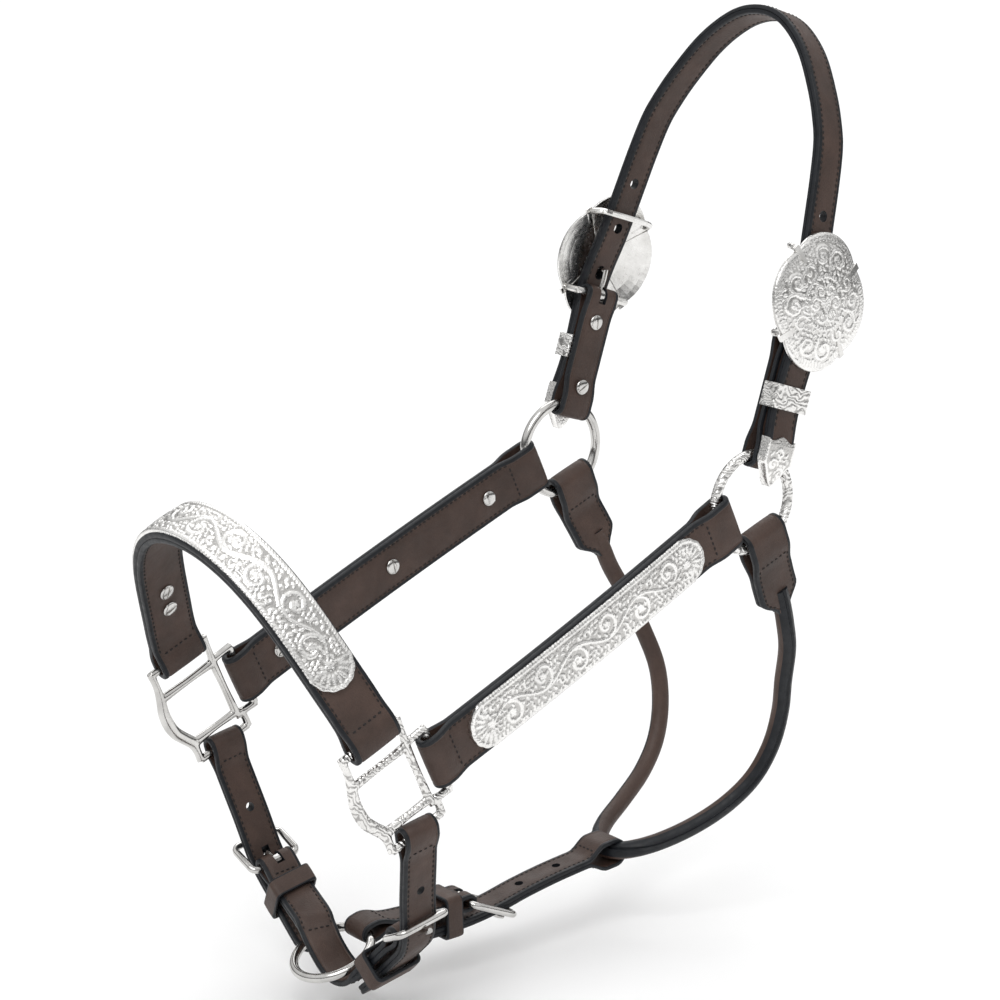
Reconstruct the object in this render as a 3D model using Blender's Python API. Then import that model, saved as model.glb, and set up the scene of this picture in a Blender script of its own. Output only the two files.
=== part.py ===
"""A leather show headcollar (western show halter) for a horse, buckled up as it is worn.

Lengths below are millimetres and are written to the scene in metres. +Z is up, the
horse faces -Y, and the near side (the horse's left) is +X. The origin lies under the
crown strap, where the headcollar hangs on the horse's poll. The headcollar is laid
out in three pitched frames, each spanned by X, a rearward axis and an upward axis.
"""
import bpy
import bmesh
from math import cos, hypot, pi, radians, sin, sqrt
from mathutils import Matrix, Vector

MM = 0.001
GAP = 0.35                      # between pieces that touch

# --- driving dimensions -------------------------------------------------------
CROWN_PITCH = radians(-18.0)    # the crown leans back, going up
HEAD_PITCH = radians(24.5)      # the cheeks rise towards the rear
CHIN_PITCH = radians(12.0)      # the chin straps lean forward, going up
TAB_PITCH = radians(19.5)       # the throat tabs lean forward, going up

CROWN_RISE = 261.0              # from the ring centres up to the middle of the crown
CHEEK_RUN = 248.2               # from the square's corner back to the ring centre
CHEEK_DROP = 18.3               # and down, square to the cheek

RING_MEAN_RADIUS = 26.2
RING_WIRE = 2.8
RING_X = 81.0
CHIN_RING_MEAN_RADIUS = 21.3
CHIN_RING_WIRE = 2.5

SQUARE_X = 88.0
SQUARE_THICK = 4.0
SLOT_BAR = 4.2
SLOT_EYE = 3.25                 # the room for a bar inside a fold

CROWN_WIDTH = 19.0
CROWN_THICK = 5.2
CHAPE_WIDTH = 22.6
CHAPE_PLY = 2.4
CHAPE_SLIT = 1.7
CHEEK_WIDTH = 28.6
CHEEK_THICK = 6.2
CHIN_WIDTH = 20.6
CHIN_BILLET_THICK = 4.8
CHIN_STRAP_THICK = 5.6
CONNECTOR_WIDTH = 19.0
CONNECTOR_THICK = 5.0
TAB_WIDTH = 27.0
ROLL_RADIUS = 5.0

BUCKLE_WIRE = 2.0
BUCKLE_INNER = 25.0             # between the side rails
TONGUE_WIRE = 1.4
SCREW_HEAD = 4.4
SCREW_HEAD_THICK = 1.4
SCREW_SHANK = 1.9
HOLE_RADIUS = 2.8
HOLE_PITCH = 26.7

SIDES = (("near", 1), ("off", -1))

COLOURS = {                     # base colour, metallic, roughness
    "leather": ((0.070, 0.045, 0.037), 0.0, 0.55),
    "silver": ((0.80, 0.79, 0.76), 1.0, 0.28),
    "steel": ((0.62, 0.60, 0.57), 1.0, 0.16),
}


# --- frames -------------------------------------------------------------------
class Pitched:
    """X, a rearward axis and an upward axis, turned about X by a pitch."""

    def __init__(self, origin, pitch):
        self.origin = Vector(origin)
        self.rear = Vector((0.0, cos(pitch), sin(pitch)))
        self.up = Vector((0.0, -sin(pitch), cos(pitch)))

    def at(self, x, rear, up):
        return self.origin + Vector((x, 0.0, 0.0)) + self.rear * rear + self.up * up


UNDER_CROWN = CROWN_RISE - CROWN_THICK / 2
RING_CENTRE = Vector((0.0, -UNDER_CROWN * sin(-CROWN_PITCH), -UNDER_CROWN * cos(CROWN_PITCH)))
CROWN = Pitched(RING_CENTRE, CROWN_PITCH)
HEAD = Pitched(RING_CENTRE, HEAD_PITCH)
HEAD.origin = HEAD.at(0.0, -CHEEK_RUN, CHEEK_DROP)
CHIN_BAR = (-13.3, -44.8)       # the middle of the square's chin bar, in the head frame
CHIN = Pitched(HEAD.at(0.0, *CHIN_BAR), CHIN_PITCH)
TAB = Pitched(RING_CENTRE, TAB_PITCH)
X_AXIS = Vector((1.0, 0.0, 0.0))


# --- shaping helpers ----------------------------------------------------------
def material(kind):
    found = bpy.data.materials.get(kind)
    if found:
        return found
    made = bpy.data.materials.new(kind)
    made.use_nodes = True
    shader = made.node_tree.nodes["Principled BSDF"]
    colour, metallic, roughness = COLOURS[kind]
    shader.inputs["Base Color"].default_value = (*colour, 1.0)
    shader.inputs["Metallic"].default_value = metallic
    shader.inputs["Roughness"].default_value = roughness
    made.diffuse_color = (*colour, 1.0)
    return made


def to_object(name, bm, kind, pivot=None):
    """Turn millimetre geometry into a named object, with its origin on the pivot."""
    pivot = Vector(pivot) if pivot is not None else Vector()
    bmesh.ops.recalc_face_normals(bm, faces=bm.faces)
    for vert in bm.verts:
        vert.co = (vert.co - pivot) * MM
    mesh = bpy.data.meshes.new(name)
    bm.to_mesh(mesh)
    bm.free()
    mesh.materials.append(material(kind))
    mesh.shade_smooth()
    mesh.set_sharp_from_angle(angle=radians(35.0))
    obj = bpy.data.objects.new(name, mesh)
    obj.location = pivot * MM
    bpy.context.scene.collection.objects.link(obj)
    return obj


def combine(target, other, operation):
    """Apply one exact Boolean of another object to the target, and remove the other."""
    modifier = target.modifiers.new("combine", "BOOLEAN")
    modifier.operation = operation
    modifier.solver = "EXACT"
    modifier.object = other
    bpy.context.view_layer.update()
    depsgraph = bpy.context.evaluated_depsgraph_get()
    result = bpy.data.meshes.new_from_object(target.evaluated_get(depsgraph))
    target.modifiers.remove(modifier)
    target.data = result
    result.shade_smooth()
    result.set_sharp_from_angle(angle=radians(35.0))
    bpy.data.objects.remove(other, do_unlink=True)


def cut(target, cutters):
    for cutter in cutters:
        combine(target, cutter, "DIFFERENCE")
    return target


def join(target, others):
    for other in others:
        combine(target, other, "UNION")
    return target


def smooth_path(points, per_span=8):
    """A Catmull-Rom curve through the points, as a dense list."""
    points = [Vector(p) for p in points]
    ends = [2 * points[0] - points[1]] + points + [2 * points[-1] - points[-2]]
    path = []
    for i in range(1, len(ends) - 2):
        a, b, c, d = ends[i - 1:i + 3]
        for k in range(per_span):
            t = k / per_span
            path.append(0.5 * (2 * b + (c - a) * t + (2 * a - 5 * b + 4 * c - d) * t ** 2
                               + (3 * b - a - 3 * c + d) * t ** 3))
    return path + [points[-1]]


class Route:
    """A path that is asked for points and directions by the distance along it."""

    def __init__(self, points, per_span=8):
        self.points = smooth_path(points, per_span)
        self.stations = [0.0]
        for a, b in zip(self.points, self.points[1:]):
            self.stations.append(self.stations[-1] + (b - a).length)
        self.length = self.stations[-1]

    def at(self, distance):
        distance = min(max(distance, 0.0), self.length)
        for i in range(1, len(self.stations)):
            if distance <= self.stations[i] or i == len(self.stations) - 1:
                span = self.stations[i] - self.stations[i - 1]
                t = (distance - self.stations[i - 1]) / span
                return self.points[i - 1].lerp(self.points[i], t)
        return self.points[-1]

    def along(self, distance):
        step = 1.2
        return (self.at(distance + step) - self.at(distance - step)).normalized()

    def nearest(self, test):
        """The distance along the route of the first point that passes the test."""
        for station, point in zip(self.stations, self.points):
            if test(point):
                return station
        return self.length


def ring_of_faces(bm, loops, closed=False):
    """Bridge loops of vertices that all have the same count, and cap them."""
    count = len(loops[0])
    pairs = list(zip(loops, loops[1:]))
    if closed:
        pairs.append((loops[-1], loops[0]))
    for first, second in pairs:
        for k in range(count):
            n = (k + 1) % count
            bm.faces.new((first[k], first[n], second[n], second[k]))
    if not closed:
        bm.faces.new(loops[0][::-1])
        bm.faces.new(loops[-1])


def ribbon(name, route, across, width, half_thick, distances, kind="leather"):
    """A flat strap along a route. across(d) is its width direction at a distance."""
    bm = bmesh.new()
    loops = []
    for d in distances:
        centre = route.at(d)
        tangent = route.along(d)
        side = across(d)
        side = (side - tangent * side.dot(tangent)).normalized()
        normal = tangent.cross(side)
        half_w = width(d) / 2 if callable(width) else width / 2
        half_t = half_thick(d)
        corners = ((-1, -1), (1, -1), (1, 1), (-1, 1))
        loops.append([bm.verts.new(centre + side * half_w * i + normal * half_t * j)
                      for i, j in corners])
    ring_of_faces(bm, loops)
    return to_object(name, bm, kind)


def tube(name, points, radius, sides=10, closed=False, kind="steel", pivot=None):
    """A round wire through the points, with even twist."""
    bm = bmesh.new()
    points = [Vector(p) for p in points]
    count = len(points)
    loops = []
    normal = None
    for i, point in enumerate(points):
        before = points[i - 1] if (closed or i) else point
        after = points[(i + 1) % count] if (closed or i < count - 1) else point
        tangent = (after - before).normalized()
        if normal is None:
            helper = X_AXIS if abs(tangent.x) < 0.8 else Vector((0.0, 0.0, 1.0))
            normal = tangent.cross(helper).normalized()
        normal = (normal - tangent * normal.dot(tangent)).normalized()
        binormal = tangent.cross(normal)
        size = radius(i / (count - 1)) if callable(radius) else radius
        loops.append([bm.verts.new(point + size * (normal * cos(a) + binormal * sin(a)))
                      for a in (2 * pi * k / sides for k in range(sides))])
    ring_of_faces(bm, loops, closed)
    return to_object(name, bm, kind, pivot)


def circle_points(centre, axis, radius, count):
    axis = Vector(axis).normalized()
    helper = Vector((0.0, 0.0, 1.0)) if abs(axis.z) < 0.9 else Vector((0.0, 1.0, 0.0))
    u = axis.cross(helper).normalized()
    v = axis.cross(u)
    return [Vector(centre) + radius * (u * cos(t) + v * sin(t))
            for t in (2 * pi * k / count for k in range(count))]


def torus(name, centre, axis, mean_radius, wire, kind="steel", segments=44, sides=10):
    points = circle_points(centre, axis, mean_radius, segments)
    return tube(name, points, wire, sides, True, kind, centre)


def rod(name, start, end, radius, sides=16, kind="steel"):
    return tube(name, (start, end), radius, sides, False, kind)


def slab(name, outline, place, low, high, kind="steel"):
    """A flat outline made thick. place(a, b, w) turns its axes into a point."""
    bm = bmesh.new()
    loops = [[bm.verts.new(place(a, b, w)) for a, b in outline] for w in (low, high)]
    ring_of_faces(bm, loops)
    return to_object(name, bm, kind)


def arc(centre, radius, start, end, count):
    """Points on an arc, angles in degrees, both ends included."""
    span = [radians(start + (end - start) * k / (count - 1)) for k in range(count)]
    return [(centre[0] + radius * cos(t), centre[1] + radius * sin(t)) for t in span]


def rounded_box(low, high, radius, count=4):
    """The outline of a rectangle with rounded corners."""
    (x0, y0), (x1, y1) = low, high
    corners = (((x1 - radius, y1 - radius), 0), ((x0 + radius, y1 - radius), 90),
               ((x0 + radius, y0 + radius), 180), ((x1 - radius, y0 + radius), 270))
    outline = []
    for centre, start in corners:
        outline += arc(centre, radius, start, start + 90, count)
    return outline


def ease(t):
    t = min(max(t, 0.0), 1.0)
    return t * t * (3 - 2 * t)


def strap_profile(length, thick, eye_start=None, eye_end=None):
    """Half thickness along a strap whose ends may fold round a bar or a ring.

    An eye is (bulge, straight): half the thickness at the fold, and how far from the
    end the fold stays that thick.
    """
    taper = 13.0
    plain = thick / 2

    def end(distance, eye):
        if eye is None:
            return plain
        bulge, straight = eye
        if distance < bulge:
            return bulge * max(0.3, sqrt(1 - (1 - distance / bulge) ** 2))
        return plain + (bulge - plain) * (1 - ease((distance - straight) / taper))

    def half_thick(distance):
        if distance < length / 2:
            return end(distance, eye_start)
        return end(length - distance, eye_end)

    return half_thick


def strap_stations(length, spacing, eye_start=None, eye_end=None):
    """Distances along a strap: close together round its folded ends."""
    near_end = (0.0, 0.1, 0.3, 0.6, 1.0)

    def end(eye):
        if eye is None:
            return [0.0]
        bulge, straight = eye
        close = [bulge * f for f in near_end]
        return close + [straight, straight + 3, straight + 6.5, straight + 10, straight + 13]

    start = end(eye_start)
    finish = [length - d for d in reversed(end(eye_end))]
    count = max(1, round((finish[0] - start[-1]) / spacing))
    middle = [start[-1] + (finish[0] - start[-1]) * k / count for k in range(1, count)]
    return start + middle + finish


def constant(vector):
    return lambda distance: vector


# --- rings --------------------------------------------------------------------
def ring_centre(s):
    return RING_CENTRE + X_AXIS * RING_X * s


def ring_cutter(s):
    return torus("cutter", ring_centre(s), X_AXIS, RING_MEAN_RADIUS, RING_WIRE + GAP)


CHIN_RING_CENTRE = Vector((0.5, 14.4, -140.9)) + Vector((0.0, HEAD.origin.y, HEAD.origin.z))
CHIN_RING_AXIS = Vector((0.0, -0.367, 0.930)).normalized()


def chin_ring_cutter():
    return torus("cutter", CHIN_RING_CENTRE, CHIN_RING_AXIS, CHIN_RING_MEAN_RADIUS,
                 CHIN_RING_WIRE + GAP)


def make_rings():
    for side, s in SIDES:
        kind = "silver" if s > 0 else "steel"
        torus(side + "_ring", ring_centre(s), X_AXIS, RING_MEAN_RADIUS, RING_WIRE, kind)
    torus("chin_ring", CHIN_RING_CENTRE, CHIN_RING_AXIS, CHIN_RING_MEAN_RADIUS,
          CHIN_RING_WIRE, "steel")


# --- squares ------------------------------------------------------------------
NOSE_BAR_UP = 15.8
CHEEK_BAR_REAR = 12.8
CHIN_BAR_UP = CHIN_BAR[1]
WINDOW = 33.5                   # between the bars of the middle window


def square_outline():
    """The outer edge of the casting, in the head frame, from the nose slot round."""
    half = SLOT_BAR / 2
    top = NOSE_BAR_UP + half
    rear = CHEEK_BAR_REAR + half
    low = CHIN_BAR_UP - half
    left = -36.8
    outline = arc((left + 3, top - 3), 3.0, 180, 90, 3)
    outline += arc((0.4, top - 3), 3.0, 90, 0, 3)
    outline += [(3.0, 4.2)]
    outline += arc((rear - 2.5, 1.4), 2.6, 90, 0, 3)
    outline += arc((rear - 2.5, -35.8), 2.6, 0, -90, 3)
    outline += [(6.0, -38.2)]
    outline += arc((3.2, low + 2.6), 2.6, 0, -90, 3)
    outline += arc((-29.5, low + 2.6), 2.6, 270, 190, 3)
    outline += arc((-16.0, -16.5), 25.6, 225, 184, 7)
    outline += [(-41.0, -8.0), (-39.2, 0.0)]
    return outline


def square_window():
    bar = SLOT_BAR / 2
    outline = [(-bar, -bar), (-bar, bar - WINDOW), (-20.0, bar - WINDOW)]
    outline += arc((-18.5, -16.0), 15.4, 262, 184, 7)
    outline += [(-34.6, -6.0), (-34.0, -bar)]
    return outline


def make_square(side, s):
    def place(rear, up, x):
        return HEAD.at(s * (SQUARE_X + x), rear, up)

    half = SQUARE_THICK / 2
    bar = SLOT_BAR / 2
    kind = "silver" if s > 0 else "steel"
    body = slab(side + "_square", square_outline(), place, -half, half, kind)
    reach = half + 2
    slots = (
        rounded_box((-32.6, bar), (-0.3, NOSE_BAR_UP - bar), 1.0),
        rounded_box((bar, -33.2), (CHEEK_BAR_REAR - bar, -0.6), 1.4),
        rounded_box((-28.0, CHIN_BAR_UP + bar), (1.2, -WINDOW - bar + 0.4), 1.4),
    )
    cutters = [slab("cutter", square_window(), place, -reach, reach)]
    cutters += [slab("cutter", slot, place, -reach, reach) for slot in slots]
    cut(body, cutters)


# --- crown --------------------------------------------------------------------
TIP_UP = 13.0                   # the free ends of the crown strap, above the ring centre
CROWN_SIDE = ((88.2, TIP_UP), (89.6, 23.0), (89.5, 33.0), (87.6, 47.0), (87.2, 60.0), (88.0, 75.0),
              (88.9, 90.0), (86.9, 106.0), (82.6, 124.0), (79.6, 141.0), (77.4, 155.0),
              (74.4, 174.0), (70.4, 193.0), (65.2, 205.5), (56.2, 221.0), (41.0, 241.0),
              (24.0, 254.5), (8.5, 260.3))
BAR_UP = 90.0                   # the buckle bar, above the ring centre
BAIL_UP = 136.5                 # the wire that holds the strap to the plate
TONGUE_REACH = 14.5
HOLES_UP = (BAR_UP + 12.7, BAR_UP + 12.7 + HOLE_PITCH, BAR_UP + 12.7 + 2 * HOLE_PITCH)
CHAPE_LOW_SCREW = 36.7
CHAPE_HIGH_SCREW = 74.5
KEEPER_UP = 58.0
KEEPER_LENGTH = 13.0


def crown_route():
    near = [CROWN.at(x, 0.0, up) for x, up in CROWN_SIDE]
    off = [CROWN.at(-x, 0.0, up) for x, up in reversed(CROWN_SIDE)]
    return Route(near + off, 4)


def crown_x(up):
    """The middle of the crown strap at a height above the ring centres."""
    for (x0, u0), (x1, u1) in zip(CROWN_SIDE, CROWN_SIDE[1:]):
        if u0 <= up <= u1:
            return x0 + (x1 - x0) * (up - u0) / (u1 - u0)
    return 0.0


def make_crown_strap():
    route = crown_route()
    count = 66
    distances = [route.length * k / count for k in range(count + 1)]
    body = ribbon("crown_strap", route, constant(CROWN.rear), CROWN_WIDTH,
                  constant(CROWN_THICK / 2), distances)
    cutters = []
    for side, s in SIDES:
        for up in HOLES_UP:
            x = crown_x(up) * s
            tall = 1.3 if up == HOLES_UP[0] else 0.2
            outline = [(a * HOLE_RADIUS, b * HOLE_RADIUS + (tall if b > 0 else -tall))
                       for a, b in arc((0, 0), 1.0, 7, 353, 14)]

            def place(a, b, w, x=x, up=up):
                return CROWN.at(x + w, a, up + b)

            cutters.append(slab("cutter", outline, place, -7, 7))
    cut(body, cutters)


def make_chape(side, s):
    """The folded strap between a ring and the crown buckle's bar."""
    low = RING_MEAN_RADIUS - RING_WIRE - GAP - CHAPE_PLY - 2.8
    bar = BUCKLE_WIRE + GAP
    high = BAR_UP + bar + CHAPE_PLY
    ring_eye = (RING_WIRE + GAP + CHAPE_PLY, 12.0)
    bar_eye = (bar + CHAPE_PLY, 6.0)
    route = Route([CROWN.at(RING_X * s, 0.0, low), CROWN.at(RING_X * s, 0.0, high)], 8)
    thick = 2 * CHAPE_PLY + CHAPE_SLIT
    body = ribbon(side + "_crown_chape", route, constant(CROWN.rear), CHAPE_WIDTH,
                  strap_profile(route.length, thick, ring_eye, bar_eye),
                  strap_stations(route.length, 12.0, ring_eye, bar_eye))

    def place(x, up, rear):
        return CROWN.at((RING_X + x) * s, rear, up)

    reach = CHAPE_WIDTH / 2 + 2
    slit = ((-CHAPE_SLIT / 2, RING_MEAN_RADIUS), (CHAPE_SLIT / 2, RING_MEAN_RADIUS),
            (CHAPE_SLIT / 2, BAR_UP), (-CHAPE_SLIT / 2, BAR_UP))
    tongue_slot = ((-7, BAR_UP - 4.6), (7, BAR_UP - 4.6), (7, high + 2), (-7, high + 2))
    cutters = [
        ring_cutter(s),
        slab("cutter", slit, place, -reach, reach),
        rod("cutter", CROWN.at(RING_X * s, -reach, BAR_UP), CROWN.at(RING_X * s, reach, BAR_UP),
            bar),
        slab("cutter", tongue_slot, place, -2.4, 2.4),
    ]
    for up in (CHAPE_LOW_SCREW, CHAPE_HIGH_SCREW):
        cutters.append(rod("cutter", CROWN.at((RING_X - 9) * s, 0, up),
                           CROWN.at((RING_X + 9) * s, 0, up), SCREW_SHANK + GAP))
    cut(body, cutters)


def screw(name, head, inward, length):
    """A round-headed screw. head is the point under its head, inward points out of it."""
    inward = Vector(inward).normalized()
    head = Vector(head)
    profile = ((0.15, SCREW_HEAD_THICK), (SCREW_HEAD * 0.72, SCREW_HEAD_THICK),
               (SCREW_HEAD, SCREW_HEAD_THICK * 0.5), (SCREW_HEAD, 0.0),
               (SCREW_SHANK, 0.0), (SCREW_SHANK, -length), (0.15, -length))
    bm = bmesh.new()
    loops = []
    for radius, height in profile:
        loops.append([bm.verts.new(p) for p in
                      circle_points(head + inward * height, inward, radius, 14)])
    ring_of_faces(bm, loops)
    return to_object(name, bm, "steel")


def make_chape_screws(side, s):
    plain = CHAPE_PLY + CHAPE_SLIT / 2
    for label, up, swell in (("lower", CHAPE_LOW_SCREW, 2.0), ("upper", CHAPE_HIGH_SCREW, 0.0)):
        inner = RING_X - plain - swell - GAP
        screw(side + "_chape_screw_" + label, CROWN.at(inner * s, 0.0, up), (-s, 0, 0),
              2 * plain + swell + GAP - 0.2)


PLATE_UP = 111.5
PLATE_REAR = 4.0
PLATE_RIM_X = 87.5
PLATE_DOME = 5.2
PLATE_THICK = 1.6
PLATE_LEAN = 0.112              # the plate's foot stands out further than its top
TOP_LOBE = (13.5, 23.5)         # centre height and radius of the top and bottom lobes
SIDE_LOBE = (6.0, 28.0)         # centre offset and radius of the side lobes
NOTCH = (22.0, 23.0)
TAB_STEP = 2.4


def plate_outline():
    """One turn of the plate's edge: two side lobes, two end lobes, four small tabs."""
    outline = []
    side_centre, side_radius = SIDE_LOBE
    end_centre, end_radius = TOP_LOBE
    for turn in (0, 180):
        flip = 1 if turn == 0 else -1
        outline += arc((side_centre * flip, 0.0), side_radius, turn - 50, turn + 50, 12)
        outline += tab_points(flip, flip)
        outline += arc((0.0, end_centre * flip), end_radius, turn + 32, turn + 148, 12)
        outline += tab_points(-flip, flip)
    return outline


def tab_points(sign_a, sign_b):
    """A small square tab in a notch, in the order of the outline."""
    a, b = NOTCH[0] * sign_a, NOTCH[1] * sign_b
    out = Vector((sign_a, sign_b)).normalized()
    across = Vector((-out.y, out.x))
    tip = Vector((a, b)) + out * TAB_STEP
    root = Vector((a, b)) - out * 0.5
    return [tuple(root - across * 1.8), tuple(tip - across * 1.8),
            tuple(tip + across * 1.8), tuple(root + across * 1.8)]


def plate_point(s, rear, up, x):
    return CROWN.at(s * (PLATE_RIM_X + x - PLATE_LEAN * up), PLATE_REAR + rear, PLATE_UP + up)


def make_crown_plate(side, s):
    """The buckle's big engraved front, with the bail and the bar on its back."""
    outline = plate_outline()
    bm = bmesh.new()
    rings = (1.0, 0.9, 0.72, 0.45, 0.2)
    loops = []
    for layer, order in ((0.0, reversed(rings)), (PLATE_THICK, rings)):
        for scale in (order if layer == 0.0 else reversed(rings)):
            lift = PLATE_DOME * (1 - scale ** 2) + layer
            loops.append([bm.verts.new(plate_point(s, a * scale, b * scale, lift))
                          for a, b in outline])
        if layer == 0.0:
            inner_loops = loops
            loops = []
    ring_of_faces(bm, inner_loops + loops[::-1])
    body = to_object(side + "_crown_plate", bm, "silver")
    front = PLATE_REAR - NOTCH[0] + 1.0
    rear = PLATE_REAR + NOTCH[0] - 1.0
    bail_x = crown_x(BAIL_UP) - CROWN_THICK / 2 - GAP - 2.8
    rim = PLATE_RIM_X + 1.2
    high = rim - PLATE_LEAN * (BAIL_UP - PLATE_UP)
    bail = [CROWN.at(s * high, front, BAIL_UP - 1.5),
            CROWN.at(s * (high - 5), front + 0.4, BAIL_UP - 0.5),
            CROWN.at(s * (bail_x + 3), front + 2.0, BAIL_UP),
            CROWN.at(s * bail_x, -11.5, BAIL_UP),
            CROWN.at(s * bail_x, 12.5, BAIL_UP),
            CROWN.at(s * (bail_x + 3), rear - 5.0, BAIL_UP),
            CROWN.at(s * (high - 5), rear - 0.4, BAIL_UP - 0.5),
            CROWN.at(s * high, rear, BAIL_UP - 1.5)]
    low = rim - PLATE_LEAN * (BAR_UP - PLATE_UP)
    bar = [CROWN.at(s * low, front, BAR_UP + 0.5),
           CROWN.at(s * (RING_X + 4.5), front, BAR_UP),
           CROWN.at(s * (RING_X + 1.0), front + 1.6, BAR_UP),
           CROWN.at(s * RING_X, front + 4.5, BAR_UP),
           CROWN.at(s * RING_X, rear - 8.0, BAR_UP),
           CROWN.at(s * (RING_X + 1.0), rear - 4.0, BAR_UP),
           CROWN.at(s * (RING_X + 4.5), rear - 1.0, BAR_UP),
           CROWN.at(s * low, rear, BAR_UP + 0.5)]
    join(body, [tube("bail", smooth_path(bail, 3), 1.7, 8),
                tube("bar", smooth_path(bar, 3), BUCKLE_WIRE, 10)])


def make_crown_tongue(side, s):
    """A hook that turns on the buckle bar. Its end is an arc about the bar."""
    def at(x, up):
        return CROWN.at(s * (RING_X + x), 0.0, BAR_UP + up)

    arm = [at(0.0, 3.4), at(-0.6, 7.0), at(-0.8, 10.5)]
    hook = [at(TONGUE_REACH * sin(radians(t)), TONGUE_REACH * cos(radians(t)))
            for t in (-2, 5, 12, 20, 28, 36, 43)]
    pivot = at(0.0, 0.0)
    body = tube(side + "_crown_tongue", arm + hook, TONGUE_WIRE, 8, pivot=pivot)
    eye = rod("eye", CROWN.at(s * RING_X, -1.8, BAR_UP), CROWN.at(s * RING_X, 1.8, BAR_UP), 3.9)
    join(body, [eye])
    cut(body, [rod("cutter", CROWN.at(s * RING_X, -4, BAR_UP), CROWN.at(s * RING_X, 4, BAR_UP),
                   BUCKLE_WIRE + GAP)])


def loop_around(name, place, inner, wall, length, kind, pivot=None):
    """A rectangular keeper. inner is (a0, b0, a1, b1); it is long along w."""
    a0, b0, a1, b1 = inner
    outer = rounded_box((a0 - wall, b0 - wall), (a1 + wall, b1 + wall), wall * 0.9, 3)
    body = slab(name, outer, place, -length / 2, length / 2, kind)
    hole = slab("cutter", rounded_box((a0, b0), (a1, b1), 0.3, 2), place, -length, length)
    cut(body, [hole])
    if pivot is not None:
        shift = Vector(pivot) * MM
        body.data.transform(Matrix.Translation(-shift))
        body.location = shift
    return body


METAL_KEEPER_WALL = 1.0
KEEPER_SLACK = 0.5              # so that the keeper can slide along the strap


def make_crown_keeper(side, s):
    back = RING_X - METAL_KEEPER_WALL / 2
    front = crown_x(KEEPER_UP) + CROWN_THICK / 2 + GAP + KEEPER_SLACK
    reach = CHAPE_WIDTH / 2 + GAP

    def place(rear, x, up):
        return CROWN.at(s * x, rear, KEEPER_UP + up)

    inner = (-reach, back + METAL_KEEPER_WALL, reach, front)
    loop_around(side + "_crown_keeper", place, inner, METAL_KEEPER_WALL, KEEPER_LENGTH,
                "silver", CROWN.at(s * (back + front) / 2, 0.0, KEEPER_UP))


TIP_LENGTH = 25.0
TIP_WALL = 1.0


def make_crown_tip(side, s):
    """The silver cap on the strap's free end: a wedge-ended shell over its outer face."""
    half = CROWN_WIDTH / 2
    top = TIP_UP + TIP_LENGTH
    low = TIP_UP - 2.4

    def place(rear, up, x):
        return CROWN.at(s * (strap_face(up) + x), rear, up)

    outline = [(-half, top - 1.0), (-half, TIP_UP + 7.0)]
    outline += [(-half * 0.72, TIP_UP + 2.0), (0.0, low)]
    outline += [(half * 0.72, TIP_UP + 2.0), (half, TIP_UP + 7.0), (half, top - 1.0)]
    outline += [(half * 0.5, top - 3.5), (0.0, top + 0.8), (-half * 0.5, top - 3.5)]
    slab(side + "_crown_tip", outline, place, 3 * GAP, 3 * GAP + 1.5, "silver")


def strap_face(up):
    """The outer face of the crown strap near its free end."""
    bottom = TIP_UP + 0.1
    return crown_x(max(up, bottom)) + CROWN_THICK / 2


# --- cheeks -------------------------------------------------------------------
CHEEK_FOLD = 6.0                # the fold at the square, in the head frame
CHEEK_END = 232.6               # and at the ring
CHEEK_EYE = (SLOT_EYE + 2.6, 8.5)
CHEEK_RING_EYE = (RING_WIRE + GAP + 3.1, 16.0)
CHEEK_SCREWS = (38.4, 120.7, 192.3)
PLATE_WIDE = 26.0
CHEEK_PLATE = (33.0, 203.0)
SILVER_THICK = 1.5


def cheek_point(s, rear, up=0.0, outwards=0.0):
    """A point on the cheek strap's middle line, moved up it and out of it."""
    t = (rear - CHEEK_FOLD) / (CHEEK_END - CHEEK_FOLD)
    x = SQUARE_X + (RING_X + 1.0 - SQUARE_X) * t * t + 1.3 * sin(pi * t) + outwards
    return HEAD.at(s * x, rear, up - CHEEK_DROP + 1.2)


def make_cheek_strap(side, s):
    count = 6
    marks = [CHEEK_FOLD + (CHEEK_END - CHEEK_FOLD) * k / count for k in range(count + 1)]
    route = Route([cheek_point(s, mark) for mark in marks], 6)
    body = ribbon(side + "_cheek_strap", route, constant(HEAD.up), CHEEK_WIDTH,
                  strap_profile(route.length, CHEEK_THICK, CHEEK_EYE, CHEEK_RING_EYE),
                  strap_stations(route.length, 24.0, CHEEK_EYE, CHEEK_RING_EYE))
    bar = HEAD.at(s * SQUARE_X, CHEEK_BAR_REAR, 0.0)
    cutters = [ring_cutter(s), bar_cutter(bar, HEAD.up, 60.0)]
    for rear in CHEEK_SCREWS:
        cutters.append(rod("cutter", cheek_point(s, rear, 0, -9), cheek_point(s, rear, 0, 9),
                           SCREW_SHANK + GAP))
    cut(body, cutters)


def bar_cutter(centre, direction, length):
    """Room for a square's slot bar inside a fold."""
    return rod("cutter", centre - direction * length, centre + direction * length, SLOT_EYE)


def make_cheek_screws(side, s):
    for number, rear in enumerate(CHEEK_SCREWS, 1):
        under_head = cheek_point(s, rear, 0.0, -CHEEK_THICK / 2 - GAP)
        screw(side + "_cheek_screw_" + str(number), under_head, (-s, 0, 0),
              CHEEK_THICK + GAP + 0.1)


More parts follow.
